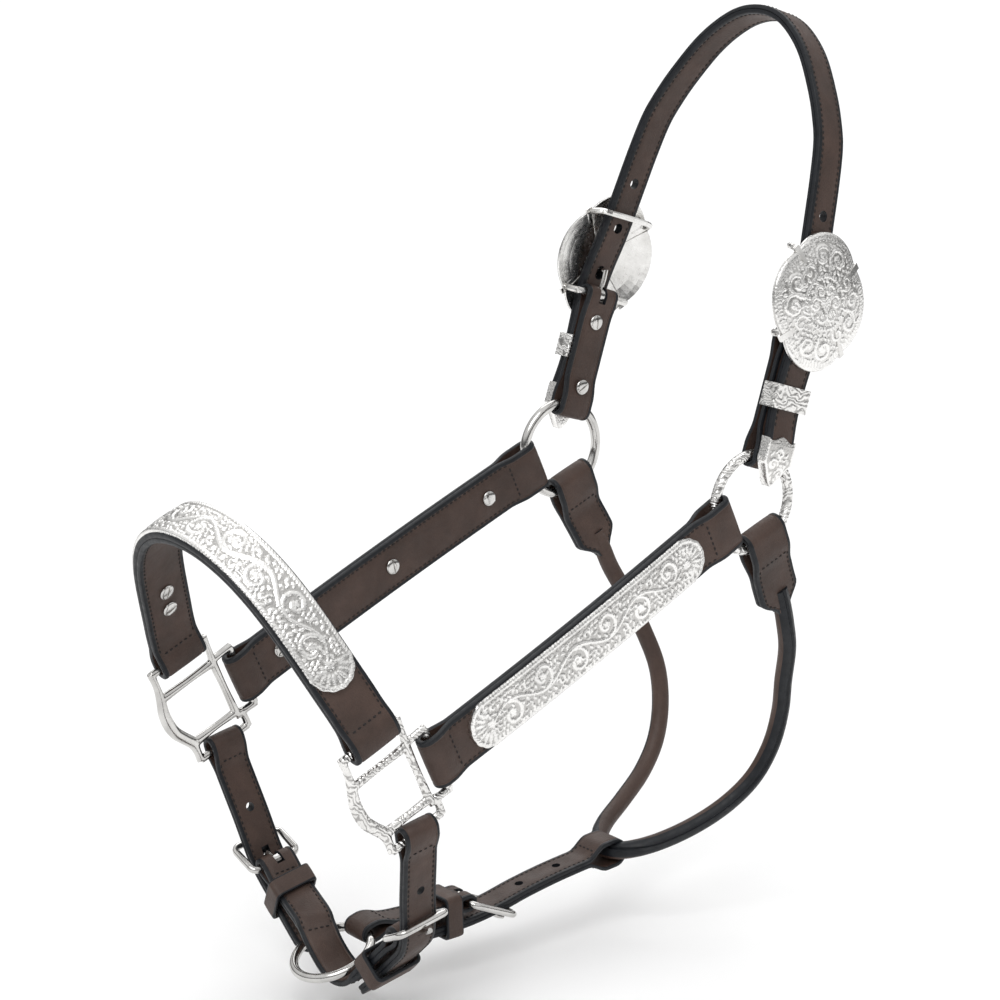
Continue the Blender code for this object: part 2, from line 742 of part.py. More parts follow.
def silver_plate(name, route, across, start, end, width, lift):
    """A thin plate with round ends that follows a strap's outer face."""
    radius = width / 2
    bm = bmesh.new()
    loops = []
    close = (0.02, 0.12, 0.3, 0.6, 1.0)
    distances = [start + radius * f for f in close]
    count = round((end - start - 2 * radius) / 12.0)
    distances += [start + radius + (end - start - 2 * radius) * k / count
                  for k in range(1, count)]
    distances += [end - radius * f for f in reversed(close)]
    for d in distances:
        from_end = min(d - start, end - d)
        half_w = radius
        if from_end < radius:
            half_w = radius * sqrt(1 - (1 - from_end / radius) ** 2)
        centre = route.at(d)
        tangent = route.along(d)
        side = (across - tangent * across.dot(tangent)).normalized()
        normal = lift(d)
        section = ((-1, 0.0), (1, 0.0), (1, 0.8), (0.5, 1.35), (-0.5, 1.35), (-1, 0.8))
        base = CHEEK_THICK / 2 + GAP
        loops.append([bm.verts.new(centre + side * half_w * i
                                   + normal * (base + SILVER_THICK * j))
                      for i, j in section])
    ring_of_faces(bm, loops)
    return to_object(name, bm, "silver")


def make_cheek_plate(side, s):
    marks = [CHEEK_PLATE[0] + (CHEEK_PLATE[1] - CHEEK_PLATE[0]) * k / 8 for k in range(9)]
    route = Route([cheek_point(s, mark) for mark in marks], 6)
    silver_plate(side + "_cheek_plate", route, HEAD.up, 0.0, route.length, PLATE_WIDE,
                 constant(X_AXIS * s))


# --- noseband -----------------------------------------------------------------
NOSE_REAR = -15.3               # the noseband's middle line, in the head frame
NOSE_SIDE = ((88.0, 9.2), (88.1, 15.8), (87.2, 24.0), (83.0, 36.0), (77.6, 48.0),
             (72.2, 60.0), (66.4, 72.5), (59.6, 85.0), (50.0, 98.0), (37.0, 109.5),
             (19.5, 118.0))
NOSE_TOP = 120.8
NOSE_EYE = (SLOT_EYE + 2.6, 8.5)
NOSE_SCREWS = (50.0, 62.5)
NOSE_PLATE_END = 43.5


def nose_route():
    near = [HEAD.at(x, NOSE_REAR, up) for x, up in NOSE_SIDE]
    off = [HEAD.at(-x, NOSE_REAR, up) for x, up in reversed(NOSE_SIDE)]
    return Route(near + [HEAD.at(0.0, NOSE_REAR, NOSE_TOP)] + off, 6)


def height_in_head(point):
    return (point - HEAD.origin).dot(HEAD.up)


def outward_normal(route, distance, across):
    """Away from the middle of the arch, square to the route."""
    return across.cross(route.along(distance)).normalized()


def make_noseband():
    route = nose_route()
    body = ribbon("noseband", route, constant(HEAD.rear), CHEEK_WIDTH,
                  strap_profile(route.length, CHEEK_THICK, NOSE_EYE, NOSE_EYE),
                  strap_stations(route.length, 9.0, NOSE_EYE, NOSE_EYE))
    cutters = []
    for side, s in SIDES:
        bar = HEAD.at(s * SQUARE_X, 0.0, NOSE_BAR_UP)
        cutters.append(bar_cutter(bar, HEAD.rear, 60.0))
    for side, s in SIDES:
        for point, normal in nose_screw_places(route, s):
            cutters.append(rod("cutter", point - normal * 8, point + normal * 8,
                               SCREW_SHANK + GAP))
    cut(body, cutters)


def nose_screw_places(route, s):
    places = []
    for up in NOSE_SCREWS:
        d = route.nearest(lambda p, up=up: height_in_head(p) > up)
        if s < 0:
            d = route.length - d
        places.append((route.at(d), outward_normal(route, d, HEAD.rear)))
    return places


def make_nose_screws(side, s):
    route = nose_route()
    for label, (point, normal) in zip(("lower", "upper"), nose_screw_places(route, s)):
        out = normal if normal.x * s > 0 else -normal
        screw(side + "_nose_screw_" + label, point - out * (CHEEK_THICK / 2 + GAP), -out,
              CHEEK_THICK + GAP + 0.1)


def make_nose_plate():
    route = nose_route()
    start = route.nearest(lambda p: height_in_head(p) > NOSE_PLATE_END)

    def lift(distance):
        normal = outward_normal(route, distance, HEAD.rear)
        middle = HEAD.at(0.0, NOSE_REAR, 40.0)
        return normal if normal.dot(route.at(distance) - middle) > 0 else -normal

    silver_plate("nose_plate", route, HEAD.rear, start, route.length - start, PLATE_WIDE,
                 lift)


# --- chin ---------------------------------------------------------------------
CHIN_DROP = ((88.0, 6.4), (88.0, 0.0), (85.6, -12.0), (81.2, -26.0), (76.6, -40.0),
             (73.0, -53.0), (69.9, -63.0))
CHIN_BILLET_END = {
    "near": ((64.7, -72.5), (56.6, -80.3), (47.0, -88.8), (37.8, -97.2), (29.0, -104.8),
             (21.8, -109.8)),
    "off": ((64.4, -72.0), (56.8, -79.6), (46.5, -87.5), (34.0, -97.0), (24.0, -104.0)),
}
CHIN_STRAP = ((62.9, -60.5, 0.0), (56.0, -70.2, -0.5), (44.6, -81.0, -4.0),
              (35.0, -90.0, -7.0), (27.0, -97.4, -9.5), (20.0, -102.4, -10.5),
              (12.0, -104.5, -11.0), (5.0, -104.0, -11.0), (-0.5, -100.5, -11.0),
              (-4.5, -96.0, -11.0), (-9.0, -91.0, -10.5), (-15.5, -86.3, -8.5),
              (-23.0, -83.0, -6.0), (-33.0, -79.5, -4.0), (-44.0, -75.2, -2.0),
              (-56.0, -67.9, -0.5), (-63.6, -60.9, 0.0))
CHIN_BUCKLE_BAR = (60.0, -64.4)
CHIN_EYE = (SLOT_EYE + 2.3, 8.0)
CHIN_SINGLE = 3.0
CHIN_FRAME = (17.5, 8.6)        # from the bar to the far side
CHIN_KEEPER_X = {"near": 41.0, "off": 45.5}


def chin_rearward(up):
    """How far the billets lean forward of the chin frame as they drop."""
    return -0.2 * max(0.0, -76.0 - up) - 0.15 * max(0.0, -104.0 - up)


def chin_billet_route(side, s):
    points = CHIN_DROP + CHIN_BILLET_END[side]
    return Route([CHIN.at(s * x, chin_rearward(up), up) for x, up in points], 5)


def make_chin_billet(side, s):
    """From the square's chin bar, through the buckle, to a free end near the ring."""
    route = chin_billet_route(side, s)
    body = ribbon(side + "_chin_billet", route, constant(CHIN.rear), CHIN_WIDTH,
                  strap_profile(route.length, CHIN_BILLET_THICK, CHIN_EYE),
                  strap_stations(route.length, 7.5, CHIN_EYE))
    bar = HEAD.at(s * SQUARE_X, 0.0, CHIN_BAR_UP)
    cutters = [bar_cutter(bar, HEAD.rear, 60.0)]
    spare = CHIN.at(s * 78.2, 0.0, -35.7)
    cutters.append(rod("cutter", spare - X_AXIS * 9, spare + X_AXIS * 9, HOLE_RADIUS - 0.4))
    direction = chin_frame_direction(s)
    pivot = CHIN.at(s * CHIN_BUCKLE_BAR[0], 0.0, CHIN_BUCKLE_BAR[1])
    cutters.append(tongue_window(pivot, direction, CHIN.rear, 17.0, s))
    cut(body, cutters)


def chin_frame_direction(s):
    x, up = CHIN_FRAME
    return (X_AXIS * s * x + CHIN.up * up).normalized()


def tongue_window(pivot, direction, across, reach, s):
    """The hole in a strap that a buckle tongue passes through, with room to swing."""
    other = across.cross(direction) * s
    corners = ((2.5, -2.8), (reach, -5.4), (reach, 5.4), (2.5, 2.8))

    def place(a, b, w):
        return pivot + direction * a + other * b + across * w

    return slab("cutter", corners, place, -2.3, 2.3)


def chin_strap_route():
    return Route([CHIN.at(x, rear, up) for x, up, rear in CHIN_STRAP], 5)


def make_chin_strap():
    """One strap under the chin, doubled at both ends and single through the ring."""
    route = chin_strap_route()
    eye = (BUCKLE_WIRE + GAP + 2.6, 7.0)
    double = strap_profile(route.length, CHIN_STRAP_THICK, eye, eye)

    def half_thick(distance):
        x = route.at(distance).x
        beyond = x - 24.0 if x > 0 else -17.0 - x
        single = CHIN_SINGLE / 2
        return single + (double(distance) - single) * ease(beyond / 4.0)

    body = ribbon("chin_strap", route, constant(CHIN.rear), CHIN_WIDTH, half_thick,
                  strap_stations(route.length, 4.6, eye, eye))
    cutters = []
    for side, s in SIDES:
        pivot = CHIN.at(s * CHIN_BUCKLE_BAR[0], 0.0, CHIN_BUCKLE_BAR[1])
        cutters.append(rod("cutter", pivot - CHIN.rear * 20, pivot + CHIN.rear * 20,
                           BUCKLE_WIRE + GAP))
        cutters.append(fold_slot(pivot, chin_frame_direction(s), CHIN.rear))
    cut(body, cutters)


def fold_slot(pivot, direction, across):
    """The slot in a fold for the root of a tongue, open towards the frame."""
    other = across.cross(direction)
    corners = ((-4.6, -6.5), (12.0, -6.5), (12.0, 6.5), (-4.6, 6.5))

    def place(a, b, w):
        return pivot + direction * a + other * b + across * w

    return slab("cutter", corners, place, -2.4, 2.4)


def frame_buckle(name, pivot, direction, across, length, inner=BUCKLE_INNER):
    """A rounded wire frame from its bar, at the pivot, to its far side."""
    half = inner / 2 + BUCKLE_WIRE
    corner = 3.6
    outline = arc((half - corner, corner), corner, -90, 0, 4)
    outline += arc((half - corner, length - corner), corner, 0, 90, 4)
    outline += arc((corner - half, length - corner), corner, 90, 180, 4)
    outline += arc((corner - half, corner), corner, 180, 270, 4)
    points = [pivot + across * a + direction * b for a, b in outline]
    return tube(name, points, BUCKLE_WIRE, 8, True, "steel", pivot)


def prong(name, pivot, direction, across, outwards, length):
    """A straight tongue from the bar that lies on the outside of the far side."""
    rise = 2 * BUCKLE_WIRE + 0.5
    points = [pivot + direction * 3.2, pivot + direction * 8.0 + outwards * 0.8,
              pivot + direction * (length - 4.0) + outwards * (rise - 0.5),
              pivot + direction * length + outwards * rise,
              pivot + direction * (length + 3.0) + outwards * (rise - 0.2)]
    body = tube(name, smooth_path(points, 3), TONGUE_WIRE, 8, pivot=pivot)
    join(body, [rod("eye", pivot - across * 1.8, pivot + across * 1.8, 3.9)])
    cut(body, [rod("cutter", pivot - across * 4, pivot + across * 4, BUCKLE_WIRE + GAP)])


def make_chin_buckle(side, s):
    pivot = CHIN.at(s * CHIN_BUCKLE_BAR[0], 0.0, CHIN_BUCKLE_BAR[1])
    direction = chin_frame_direction(s)
    length = hypot(*CHIN_FRAME)
    frame_buckle(side + "_chin_buckle", pivot, direction, CHIN.rear, length)
    outwards = CHIN.rear.cross(direction) * -s
    if outwards.dot(CHIN.up) > 0:
        outwards = -outwards
    prong(side + "_chin_tongue", pivot, direction, CHIN.rear, outwards, length)


LEATHER_KEEPER_WALL = 2.0
LEATHER_KEEPER_LENGTH = 11.0


def leather_keeper(name, first, second, start, across, width, thick):
    """A band round two straps, at a distance along the first of them."""
    point = first.at(start)
    along = first.along(start)
    nearest = min(range(1, len(second.points) - 1),
                  key=lambda i: (second.points[i] - point).length)
    partner = second.points[nearest]
    beside = (second.points[nearest + 1] - second.points[nearest - 1]).normalized()
    if beside.dot(along) < 0:
        beside = -beside
    along = (along + beside).normalized()
    away = partner - point
    sideways = away.dot(across)
    away = away - along * away.dot(along) - across * sideways
    middle = point + away / 2 + across * sideways / 2
    normal = away.normalized()

    def place(side, out, w):
        return middle + across * side + normal * out + along * w

    reach = (width + abs(sideways)) / 2 + 0.8
    inside = -away.length / 2 - thick[0]
    outside = away.length / 2 + thick[1]
    loop_around(name, place, (-reach, inside, reach, outside), LEATHER_KEEPER_WALL,
                LEATHER_KEEPER_LENGTH, "leather", middle)


def make_chin_keeper(side, s):
    strap = chin_strap_route()
    start = strap.nearest(lambda p: p.x < s * CHIN_KEEPER_X[side])
    leather_keeper(side + "_chin_keeper", strap, chin_billet_route(side, s), start,
                   CHIN.rear, CHIN_WIDTH, (CHIN_STRAP_THICK / 2 + 1.5,
                                           CHIN_BILLET_THICK / 2 + 1.3))


# --- throat -------------------------------------------------------------------
TAB_TOP = RING_MEAN_RADIUS - RING_WIRE - GAP - 3.2 - 5.8
TAB_BOTTOM = 71.0
THROAT_SIDE = ((77.6, 257.0, 34.0), (76.2, 261.5, 24.0), (74.0, 266.5, 11.0),
               (68.6, 273.5, -5.0), (59.2, 280.0, -27.0), (52.4, 284.6, -48.0),
               (47.2, 283.0, -69.0), (41.8, 274.8, -88.0), (35.8, 259.5, -102.8),
               (29.2, 239.5, -113.6), (21.0, 219.5, -121.0), (10.5, 206.2, -125.3))
KNOT = (0.0, 202.0, -126.5)


def from_square(x, y, z):
    """A point given from the near square's corner, level with the ground."""
    return Vector((x, HEAD.origin.y + y, HEAD.origin.z + z))


def make_throat_strap():
    near = [from_square(x, y, z) for x, y, z in THROAT_SIDE]
    off = [from_square(-x, y, z) for x, y, z in reversed(THROAT_SIDE)]
    points = smooth_path(near + [from_square(*KNOT)] + off, 4)
    body = tube("throat_strap", points, ROLL_RADIUS, 10, kind="leather")
    tabs = []
    for side, s in SIDES:
        eye = (RING_WIRE + GAP + 3.2, 15.5)
        stops = ((RING_X, -TAB_TOP, 0.0), (RING_X - 0.3, -38.0, 1.0),
                 (78.5, -52.0, 2.5), (75.8, -TAB_BOTTOM, 5.0))
        route = Route([TAB.at(s * x, rear, up) for x, up, rear in stops], 6)
        profile = strap_profile(route.length, 6.4, eye)
        tab = ribbon("tab", route, constant(TAB.rear), tab_width(route.length), profile,
                     strap_stations(route.length, 9.0, eye)[:-1]
                     + [route.length - 6, route.length - 3, route.length])
        tabs.append(cut(tab, [ring_cutter(s)]))
    join(body, tabs)


def tab_width(length):
    """The tab narrows to the roll over its last stretch."""
    def width(distance):
        narrow = ease((distance - (length - 9.0)) / 9.0)
        return TAB_WIDTH + (2.4 * ROLL_RADIUS - TAB_WIDTH) * narrow
    return width


# --- throat connector ---------------------------------------------------------
CONNECTOR_BILLET = ((210.3, -126.2), (202.0, -126.5), (188.0, -128.0), (162.0, -131.2),
                    (140.0, -135.0), (120.0, -139.4), (98.0, -142.4), (72.0, -143.2),
                    (54.0, -142.6))
CONNECTOR_CHAPE = ((29.0, -135.2), (34.2, -133.1), (44.0, -131.0), (56.0, -132.2),
                   (70.0, -132.6), (84.0, -131.6), (104.2, -131.4))
CONNECTOR_BAR = (99.2, -131.4)
CONNECTOR_FRAME = (28.5, -12.5)
CONNECTOR_HOLES = (143.5, 169.0)
CONNECTOR_KEEPER_REAR = 86.5


def connector_strap_route():
    return Route([from_square(0.0, y, z) for y, z in CONNECTOR_BILLET], 5)


def make_connector_strap():
    """The billet whose end loops round the throat strap."""
    route = connector_strap_route()
    eye = (ROLL_RADIUS + GAP + 3.0, 15.0)
    body = ribbon("connector_strap", route, constant(X_AXIS), CONNECTOR_WIDTH,
                  strap_profile(route.length, CONNECTOR_THICK, eye),
                  strap_stations(route.length, 9.0, eye))
    near = [from_square(x, y, z) for x, y, z in THROAT_SIDE[-3:]]
    off = [from_square(-x, y, z) for x, y, z in reversed(THROAT_SIDE[-3:])]
    channel = smooth_path(near + [from_square(*KNOT)] + off, 4)
    cutters = [tube("cutter", channel, ROLL_RADIUS + GAP, 12)]
    for y in CONNECTOR_HOLES:
        d = route.nearest(lambda p, y=y: p.y < HEAD.origin.y + y)
        hole = route.at(d)
        cutters.append(rod("cutter", hole - Vector((0, 0, 9)), hole + Vector((0, 0, 9)),
                           HOLE_RADIUS - 0.4))
    pivot = from_square(0.0, *CONNECTOR_BAR)
    cutters.append(tongue_window(pivot, connector_direction(), X_AXIS, 24.0, 1))
    cut(body, cutters)


def connector_direction():
    return Vector((0.0, *CONNECTOR_FRAME)).normalized()


def connector_chape_route():
    return Route([from_square(0.0, y, z) for y, z in CONNECTOR_CHAPE], 6)


def make_connector_chape():
    """From the chin ring to the connector buckle's bar."""
    route = connector_chape_route()
    ring_eye = (CHIN_RING_WIRE + GAP + 2.8, 9.0)
    bar_eye = (BUCKLE_WIRE + GAP + 2.6, 7.0)
    body = ribbon("connector_chape", route, constant(X_AXIS), CONNECTOR_WIDTH,
                  strap_profile(route.length, CONNECTOR_THICK, ring_eye, bar_eye),
                  strap_stations(route.length, 8.0, ring_eye, bar_eye))
    pivot = from_square(0.0, *CONNECTOR_BAR)
    cut(body, [chin_ring_cutter(),
               rod("cutter", pivot - X_AXIS * 20, pivot + X_AXIS * 20, BUCKLE_WIRE + GAP),
               fold_slot(pivot, connector_direction(), X_AXIS)])


def make_connector_buckle():
    pivot = from_square(0.0, *CONNECTOR_BAR)
    direction = connector_direction()
    length = hypot(*CONNECTOR_FRAME)
    frame_buckle("connector_buckle", pivot, direction, X_AXIS, length, 21.6)
    outwards = direction.cross(X_AXIS)
    if outwards.z > 0:
        outwards = -outwards
    prong("connector_tongue", pivot, direction, X_AXIS, outwards, length)


def make_connector_keeper():
    chape = connector_chape_route()
    start = chape.nearest(lambda p: p.y > HEAD.origin.y + CONNECTOR_KEEPER_REAR)
    leather_keeper("connector_keeper", chape, connector_strap_route(), start, X_AXIS,
                   CONNECTOR_WIDTH, (5.2, CONNECTOR_THICK / 2 + 1.0))


# --- the whole headcollar -----------------------------------------------------
def clear_scene():
    for obj in list(bpy.data.objects):
        bpy.data.objects.remove(obj, do_unlink=True)


def build():
    clear_scene()
    make_rings()
    make_crown_strap()
    make_noseband()
    make_nose_plate()
    make_chin_strap()
    make_throat_strap()
    make_connector_strap()
    make_connector_chape()
    make_connector_buckle()
    make_connector_keeper()
    for side, s in SIDES:
        make_square(side, s)
        make_crown_plate(side, s)
        make_crown_tongue(side, s)
        make_chape(side, s)
        make_chape_screws(side, s)
        make_crown_keeper(side, s)
        make_crown_tip(side, s)
        make_cheek_strap(side, s)
        make_cheek_screws(side, s)
        make_cheek_plate(side, s)
        make_nose_screws(side, s)
        make_chin_billet(side, s)
        make_chin_buckle(side, s)
        make_chin_keeper(side, s)


build()
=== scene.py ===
"""The looks of the leather headcollar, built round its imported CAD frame.

Lengths and places are millimetres, in the same pitched frames as the CAD source, and
become metres when a mesh is made. +Z is up, the horse faces -Y, the near side is +X.
"""
from math import atan2, cos, hypot, pi, radians, sin, sqrt

import bmesh
import bpy
import numpy as np
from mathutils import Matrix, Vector
from mathutils.kdtree import KDTree


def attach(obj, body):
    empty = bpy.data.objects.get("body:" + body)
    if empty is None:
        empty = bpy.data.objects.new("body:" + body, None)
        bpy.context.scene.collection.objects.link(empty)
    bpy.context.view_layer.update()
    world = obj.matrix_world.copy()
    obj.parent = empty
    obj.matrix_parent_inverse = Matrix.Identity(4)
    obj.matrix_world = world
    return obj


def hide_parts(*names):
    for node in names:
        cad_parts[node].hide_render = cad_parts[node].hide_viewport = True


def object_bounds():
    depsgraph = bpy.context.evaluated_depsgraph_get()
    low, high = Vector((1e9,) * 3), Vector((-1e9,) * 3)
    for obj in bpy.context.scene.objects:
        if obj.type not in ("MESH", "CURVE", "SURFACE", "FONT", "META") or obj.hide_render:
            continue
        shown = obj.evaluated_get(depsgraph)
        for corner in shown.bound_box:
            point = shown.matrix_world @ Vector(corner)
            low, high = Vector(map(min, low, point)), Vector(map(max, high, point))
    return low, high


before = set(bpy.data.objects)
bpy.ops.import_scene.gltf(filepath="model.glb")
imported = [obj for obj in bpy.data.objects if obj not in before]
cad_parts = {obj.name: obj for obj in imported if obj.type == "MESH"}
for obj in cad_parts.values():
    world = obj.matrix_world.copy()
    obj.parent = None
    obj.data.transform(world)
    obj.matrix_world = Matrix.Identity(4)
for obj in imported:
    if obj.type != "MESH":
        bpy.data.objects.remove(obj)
CAD_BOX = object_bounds()

MM = 0.001
GAP = 0.35
SIDES = (("near", 1), ("off", -1))
ROOT = "headcollar"

# --- the same driving dimensions as the CAD source ---
CROWN_PITCH = radians(-18.0)
HEAD_PITCH = radians(24.5)
CHIN_PITCH = radians(12.0)
TAB_PITCH = radians(19.5)
CROWN_RISE = 261.0
CHEEK_RUN = 248.2
CHEEK_DROP = 18.3
RING_MEAN_RADIUS = 26.2
RING_WIRE = 2.8
RING_X = 81.0
CHIN_RING_MEAN_RADIUS = 21.3
CHIN_RING_WIRE = 2.5
SQUARE_X = 88.0
SLOT_EYE = 3.25
CROWN_WIDTH = 19.0
CROWN_THICK = 5.2
CHAPE_WIDTH = 22.6
CHAPE_PLY = 2.4
CHAPE_SLIT = 1.7
CHEEK_WIDTH = 28.6
CHEEK_THICK = 6.2
CHIN_WIDTH = 20.6
CHIN_BILLET_THICK = 4.8
CHIN_STRAP_THICK = 5.6
CONNECTOR_WIDTH = 19.0
CONNECTOR_THICK = 5.0
TAB_WIDTH = 27.0
ROLL_RADIUS = 5.0
BUCKLE_WIRE = 2.0
BUCKLE_INNER = 25.0
SCREW_HEAD = 4.4
HOLE_RADIUS = 2.8
HOLE_PITCH = 26.7

# --- looks ---
STITCH_PITCH = 3.3
STITCH_INSET = 3.0
GROOVE_DEPTH = 0.30
NARROW_INSET = 2.6              # stitching on the narrow straps
SHARP_ANGLE = 42.0
# these set where the engraved silver's painted shade turns into its painted highlight
RELIEF_LOW = 0.35               # engraving heights to the 0-1 of the material
RELIEF_SPAN = 0.95
LEATHER, EDGE = 0, 1            # material slots of every strap


class Pitched:
    """X, a rearward axis and an upward axis, turned about X by a pitch."""

    def __init__(self, origin, pitch):
        self.origin = Vector(origin)
        self.rear = Vector((0.0, cos(pitch), sin(pitch)))
        self.up = Vector((0.0, -sin(pitch), cos(pitch)))

    def at(self, x, rear, up):
        return self.origin + Vector((x, 0.0, 0.0)) + self.rear * rear + self.up * up


UNDER_CROWN = CROWN_RISE - CROWN_THICK / 2
RING_CENTRE = Vector((0.0, -UNDER_CROWN * sin(-CROWN_PITCH), -UNDER_CROWN * cos(CROWN_PITCH)))
CROWN = Pitched(RING_CENTRE, CROWN_PITCH)
HEAD = Pitched(RING_CENTRE, HEAD_PITCH)
HEAD.origin = HEAD.at(0.0, -CHEEK_RUN, CHEEK_DROP)
CHIN_BAR = (-13.3, -44.8)
CHIN = Pitched(HEAD.at(0.0, *CHIN_BAR), CHIN_PITCH)
TAB = Pitched(RING_CENTRE, TAB_PITCH)
X_AXIS = Vector((1.0, 0.0, 0.0))


def from_square(x, y, z):
    return Vector((x, HEAD.origin.y + y, HEAD.origin.z + z))


def ease(t):
    t = min(max(t, 0.0), 1.0)
    return t * t * (3 - 2 * t)


def spaced(start, end, step):
    count = max(1, round(abs(end - start) / step))
    return [start + (end - start) * k / count for k in range(count + 1)]


def smooth_path(points, per_span=8):
    """A Catmull-Rom curve through the points, as a dense list."""
    points = [Vector(p) for p in points]
    ends = [2 * points[0] - points[1]] + points + [2 * points[-1] - points[-2]]
    path = []
    for i in range(1, len(ends) - 2):
        a, b, c, d = ends[i - 1:i + 3]
        for k in range(per_span):
            t = k / per_span
            path.append(0.5 * (2 * b + (c - a) * t + (2 * a - 5 * b + 4 * c - d) * t ** 2
                               + (3 * b - a - 3 * c + d) * t ** 3))
    return path + [points[-1]]


class Route:
    """A path that is asked for points and directions by the distance along it."""

    def __init__(self, points, per_span=8):
        self.points = smooth_path(points, per_span)
        self.stations = [0.0]
        for a, b in zip(self.points, self.points[1:]):
            self.stations.append(self.stations[-1] + (b - a).length)
        self.length = self.stations[-1]

    def at(self, distance):
        distance = min(max(distance, 0.0), self.length)
        i = int(np.searchsorted(self.stations, distance))
        i = min(max(i, 1), len(self.stations) - 1)
        span = self.stations[i] - self.stations[i - 1]
        t = (distance - self.stations[i - 1]) / span
        return self.points[i - 1].lerp(self.points[i], t)

    def along(self, distance):
        step = 2.4
        return (self.at(distance + step) - self.at(distance - step)).normalized()

    def nearest(self, test):
        for station, point in zip(self.stations, self.points):
            if test(point):
                return station
        return self.length

    def frame(self, distance, across):
        """Centre, side and face direction of a strap at a distance."""
        tangent = self.along(distance)
        side = (across - tangent * across.dot(tangent)).normalized()
        return self.at(distance), side, tangent.cross(side)


# --- materials ---
def new_material(name):
    made = bpy.data.materials.new(name)
    made.use_nodes = True
    return made, made.node_tree, made.node_tree.nodes["Principled BSDF"]


def add(tree, kind, **values):
    node = tree.nodes.new(kind)
    for key, value in values.items():
        setattr(node, key, value)
    return node


def texture(tree, kind, sockets, **values):
    """A texture node in object coordinates, with its sockets set by name."""
    node = add(tree, kind, **values)
    place = add(tree, "ShaderNodeTexCoord")
    tree.links.new(place.outputs["Object"], node.inputs["Vector"])
    for name, value in sockets.items():
        node.inputs[name].default_value = value
    return node


def noise(tree, scale, detail=4.0):
    sockets = {"Scale": scale, "Detail": detail, "Roughness": 0.6}
    return texture(tree, "ShaderNodeTexNoise", sockets).outputs["Fac"]


def cells(tree, scale):
    return texture(tree, "ShaderNodeTexVoronoi", {"Scale": scale},
                   feature="F1").outputs["Distance"]


def flowing_lines(tree, scale):
    """Fine lines that curl like hand-cut scrolls."""
    sockets = {"Scale": scale, "Distortion": 14.0, "Detail": 1.5, "Detail Scale": 1.3}
    return texture(tree, "ShaderNodeTexWave", sockets, wave_type="RINGS",
                   rings_direction="SPHERICAL").outputs["Fac"]


def ramp(tree, source, stops):
    node = add(tree, "ShaderNodeValToRGB")
    tree.links.new(source, node.inputs["Fac"])
    elements = node.color_ramp.elements
    while len(elements) < len(stops):
        elements.new(0.5)
    for element, (position, colour) in zip(elements, stops):
        element.position = position
        element.color = (*colour, 1.0) if len(colour) == 3 else colour
    return node.outputs["Color"]


def grey(value):
    return (value, value, value)


def tint(tree, shader, source, stops):
    tree.links.new(ramp(tree, source, stops), shader.inputs["Base Color"])


def gloss(tree, shader, source, stops):
    tree.links.new(ramp(tree, source, [(at, grey(value)) for at, value in stops]),
                   shader.inputs["Roughness"])


def bump(tree, shader, height, strength, distance, before=None):
    node = add(tree, "ShaderNodeBump")
    node.inputs["Strength"].default_value = strength
    node.inputs["Distance"].default_value = distance
    tree.links.new(height, node.inputs["Height"])
    if before is not None:
        tree.links.new(before, node.inputs["Normal"])
    tree.links.new(node.outputs["Normal"], shader.inputs["Normal"])
    return node.outputs["Normal"]


def multiplied(tree, first, second, factor):
    node = add(tree, "ShaderNodeMix", data_type="RGBA", blend_type="MULTIPLY")
    node.inputs["Factor"].default_value = factor
    tree.links.new(first, node.inputs["A"])
    tree.links.new(second, node.inputs["B"])
    return node.outputs["Result"]


def leather_material():
    made, tree, shader = new_material("oiled_leather")
    tone = ramp(tree, noise(tree, 38.0), ((0.30, (0.041, 0.0245, 0.0185)),
                                          (0.52, (0.059, 0.0350, 0.0268)),
                                          (0.75, (0.082, 0.0490, 0.0375))))
    grain = ramp(tree, cells(tree, 1150.0), ((0.0, grey(0.72)), (0.5, grey(1.0))))
    tree.links.new(multiplied(tree, tone, grain, 0.6), shader.inputs["Base Color"])
    gloss(tree, shader, noise(tree, 120.0), ((0.3, 0.46), (0.7, 0.62)))
    shader.inputs["Specular IOR Level"].default_value = 0.42
    first = bump(tree, shader, cells(tree, 1150.0), 0.35, 0.0003)
    bump(tree, shader, noise(tree, 260.0, 6.0), 0.30, 0.0006, first)
    return made


def edge_material():
    made, tree, shader = new_material("painted_edge")
    tint(tree, shader, noise(tree, 140.0), ((0.30, (0.0035, 0.0045, 0.0065)),
                                            (0.55, (0.0070, 0.0088, 0.0120)),
                                            (0.80, (0.0160, 0.0165, 0.0190))))
    gloss(tree, shader, noise(tree, 300.0), ((0.3, 0.38), (0.7, 0.6)))
    shader.inputs["Specular IOR Level"].default_value = 0.35
    bump(tree, shader, noise(tree, 700.0, 6.0), 0.35, 0.0004)
    return made


def thread_material():
    made, tree, shader = new_material("waxed_thread")
    tint(tree, shader, noise(tree, 900.0), ((0.3, (0.0050, 0.0035, 0.0030)),
                                            (0.7, (0.0160, 0.0100, 0.0085))))
    shader.inputs["Roughness"].default_value = 0.7
    bump(tree, shader, noise(tree, 2600.0), 0.6, 0.0002)
    return made


def metal_material(name, bright, dull, rough, scratch=0.12):
    """Polished metal with handling marks and a little unevenness."""
    made, tree, shader = new_material(name)
    tint(tree, shader, noise(tree, 90.0), ((0.30, dull), (0.65, bright)))
    shader.inputs["Metallic"].default_value = 1.0
    gloss(tree, shader, noise(tree, 420.0, 8.0), ((0.3, rough), (0.75, rough * 2.0)))
    bump(tree, shader, noise(tree, 900.0, 6.0), scratch, 0.0002)
    return made


